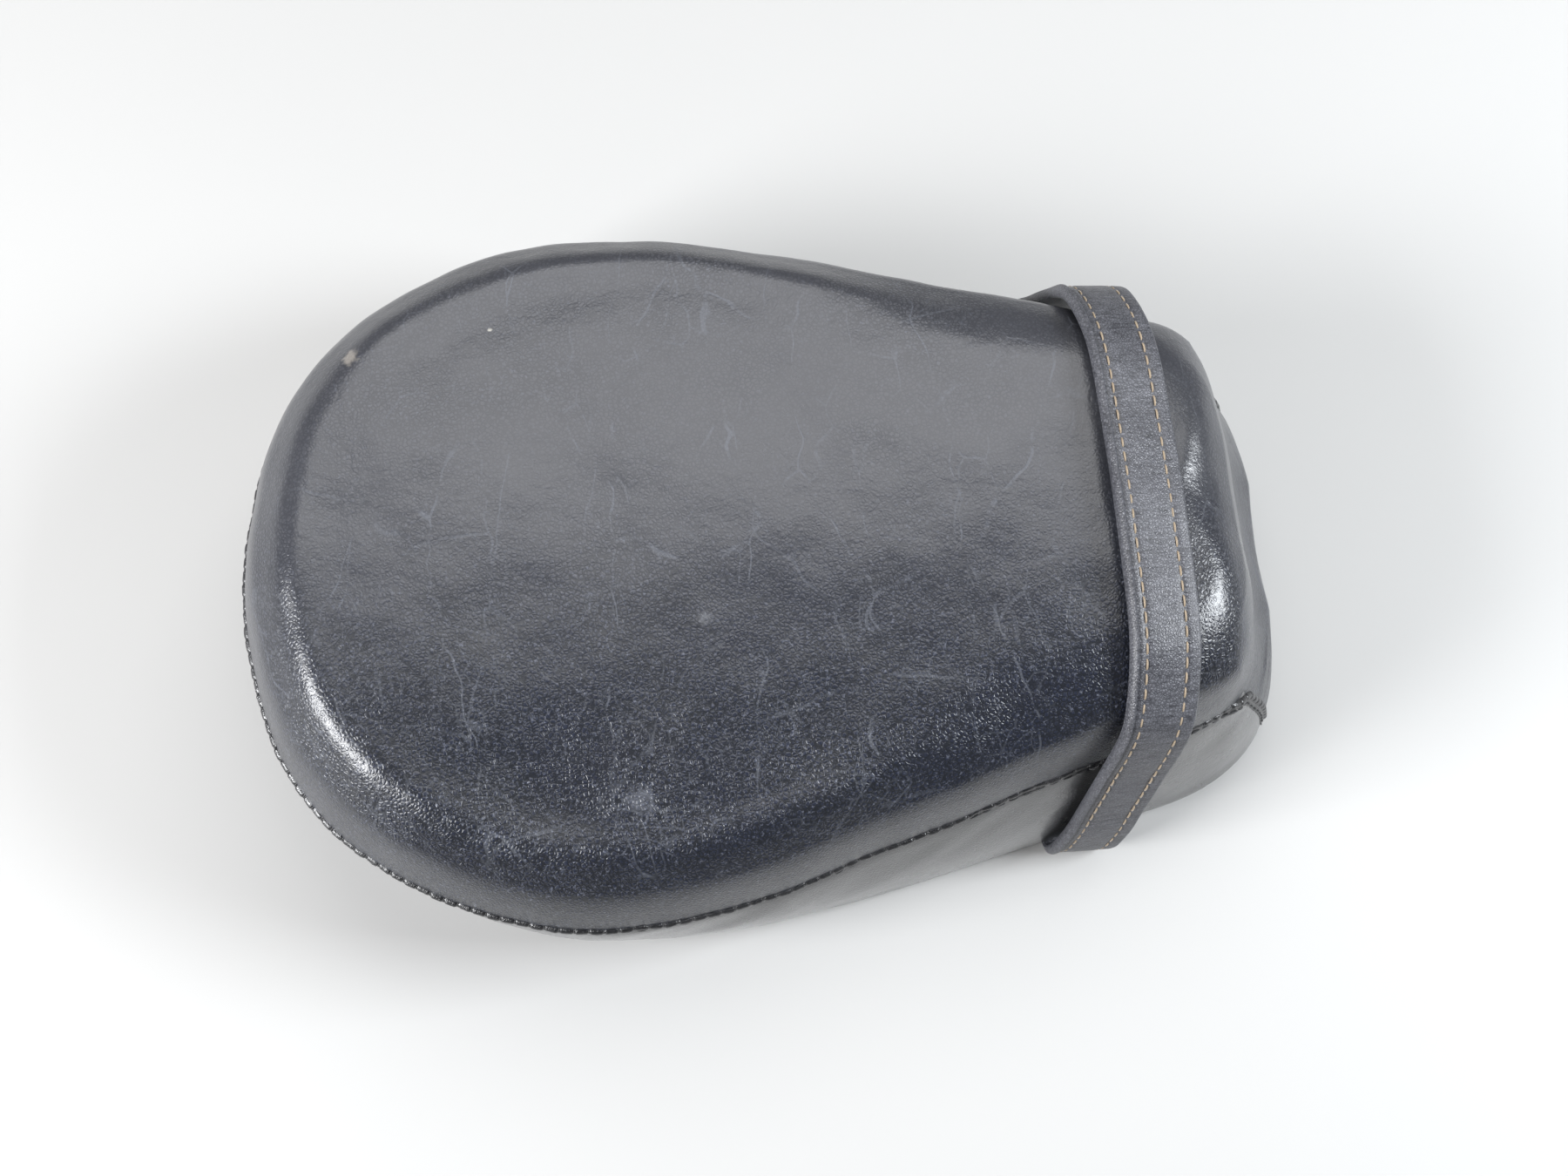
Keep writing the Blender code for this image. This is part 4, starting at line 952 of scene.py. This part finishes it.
def make_stage():
    g = Graph("table_white")
    tone = g.mix(g.noise(3.0, 3.0), colour(0.395, 0.392, 0.385), colour(0.418, 0.414, 0.406))
    g.feed(g.shader.inputs["Base Color"], tone)
    g.shader.inputs["Roughness"].default_value = 0.6
    half = FLOOR_SIZE / 2.0
    mesh = bpy.data.meshes.new("floor")
    corners = [(-half, -half, 0.0), (half, -half, 0.0), (half, half, 0.0), (-half, half, 0.0)]
    mesh.from_pydata(corners, [], [(0, 1, 2, 3)])
    floor = bpy.data.objects.new("floor", mesh)
    mesh.materials.append(g.material)
    bpy.context.scene.collection.objects.link(floor)
    world = bpy.data.worlds.new("room")
    world.use_nodes = True
    background = world.node_tree.nodes["Background"]
    background.inputs["Color"].default_value = (0.97, 0.98, 1.0, 1.0)
    background.inputs["Strength"].default_value = 0.13
    bpy.context.scene.world = world
    area_light("overhead", (0.10, 0.85, 1.55), (0.0, 0.0, 0.0), (1.7, 1.1), 19.0)
    area_light("window_left", (-1.20, -0.35, 0.80), (0.0, 0.0, 0.06), (0.60, 0.60), 42.0, (0.97, 0.98, 1.0))
    area_light("window_right", (1.05, -0.10, 0.85), (0.1, 0.0, 0.06), (0.50, 0.50), 24.0, (0.92, 0.96, 1.0))


def make_camera():
    forward = (CAMERA_AIM - CAMERA_AT).normalized()
    right = forward.cross(CAMERA_UP).normalized()
    up = right.cross(forward)
    data = bpy.data.cameras.new("camera")
    data.lens = CAMERA_LENS
    data.sensor_width = 36.0
    camera = bpy.data.objects.new("camera", data)
    turned = Matrix((right, up, -forward)).transposed().to_4x4()
    camera.matrix_world = Matrix.Translation(CAMERA_AT) @ turned
    bpy.context.scene.collection.objects.link(camera)
    bpy.context.scene.camera = camera


# Build ------------------------------------------------------------------------------------------

def make_cover(leather, side_leather):
    rows = soften_nose(cover_rows())
    rows = puffed(rows)
    normals = outward_normals(rows)
    for _ in range(3):
        below = normals[SEAM_ROW - 4:SEAM_ROW + 3]
        here = normals[SEAM_ROW - 3:SEAM_ROW + 4]
        above = normals[SEAM_ROW - 2:SEAM_ROW + 5]
        normals[SEAM_ROW - 3:SEAM_ROW + 4] = (below + here + above) / 3.0
    normals /= np.linalg.norm(normals, axis=2)[:, :, None]
    outside = rows + normals * relief(rows)[:, :, None]
    inside = outside - normals * COVER_THICK
    side = set(side_columns())
    top = [(row, column) for row in range(SEAM_ROW, len(rows) - 1) for column in range(COLUMN_TOTAL)]
    nose_columns = [column for column in range(COLUMN_TOTAL) if column not in side]
    apron = [(row, column) for row in range(SEAM_ROW) for column in nose_columns]
    vertices, faces = closed_sheet(outside, inside, top + apron, True)
    panel = add_piece("top_panel", vertices, faces, leather, "seat")
    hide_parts("cover_top_panel", "foam_cushion")
    skirt = [(row, column) for row in range(SEAM_ROW) for column in sorted(side)]
    vertices, faces = closed_sheet(outside, inside, skirt, False)
    skirt_panel = add_piece("side_panel", vertices, faces, side_leather, "seat")
    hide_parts("cover_side_panel")
    return outside


def search_tree(rows):
    faces = []
    for r in range(len(rows) - 1):
        for c in range(COLUMN_TOTAL):
            n = (c + 1) % COLUMN_TOTAL
            faces.append((r * COLUMN_TOTAL + c, r * COLUMN_TOTAL + n, (r + 1) * COLUMN_TOTAL + n,
                          (r + 1) * COLUMN_TOTAL + c))
    last = (len(rows) - 1) * COLUMN_TOTAL
    for k in range(COLUMN_TOTAL // 2):
        across = (k, k + 1, (COLUMN_TOTAL - k - 1) % COLUMN_TOTAL, (COLUMN_TOTAL - k) % COLUMN_TOTAL)
        faces.append([last + c for c in dict.fromkeys(across)])
    return BVHTree.FromPolygons([tuple(point) for ring in rows for point in ring], faces)


COLUMN_TOTAL = 2 * sum(COLUMN_COUNTS)
RIM_ROW = 4 + RIM_STEPS
SEAM_ROW = RIM_ROW + SKIRT_ROWS
RIM_CURVE = closed_spline(rim_control())

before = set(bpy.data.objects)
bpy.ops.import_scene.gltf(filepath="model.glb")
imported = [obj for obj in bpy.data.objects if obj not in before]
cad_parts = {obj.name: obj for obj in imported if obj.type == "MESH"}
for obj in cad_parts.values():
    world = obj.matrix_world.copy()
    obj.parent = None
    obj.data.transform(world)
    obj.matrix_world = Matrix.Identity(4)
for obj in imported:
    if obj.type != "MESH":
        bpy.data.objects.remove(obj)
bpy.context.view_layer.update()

make_camera()
make_stage()
bpy.context.scene.view_settings.view_transform = "Standard"

side_finish = smooth_leather("side_leather_smooth", (0.022, 0.022, 0.023), (0.046, 0.046, 0.047),
                             0.28, 0.8)
seam_finish = smooth_leather("seam_leather", (0.004, 0.004, 0.005), (0.010, 0.010, 0.012),
                             0.32, 0.2, 1400.0)
cover = make_cover(worn_and_painted_shade_leather(), side_finish)
tree = search_tree(cover)
black = thread("seam_thread_black", (0.006, 0.006, 0.007), (0.022, 0.022, 0.024))
make_seam(cover, tree, seam_finish, black)
tan = thread("strap_thread_tan", (0.150, 0.110, 0.070), (0.360, 0.280, 0.190))
strap_piece = make_strap(tree, strap_leather(), tan)
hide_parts("strap_sleeve", "strap_webbing", "strap_end_left", "strap_end_right")
dress_nodes(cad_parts)
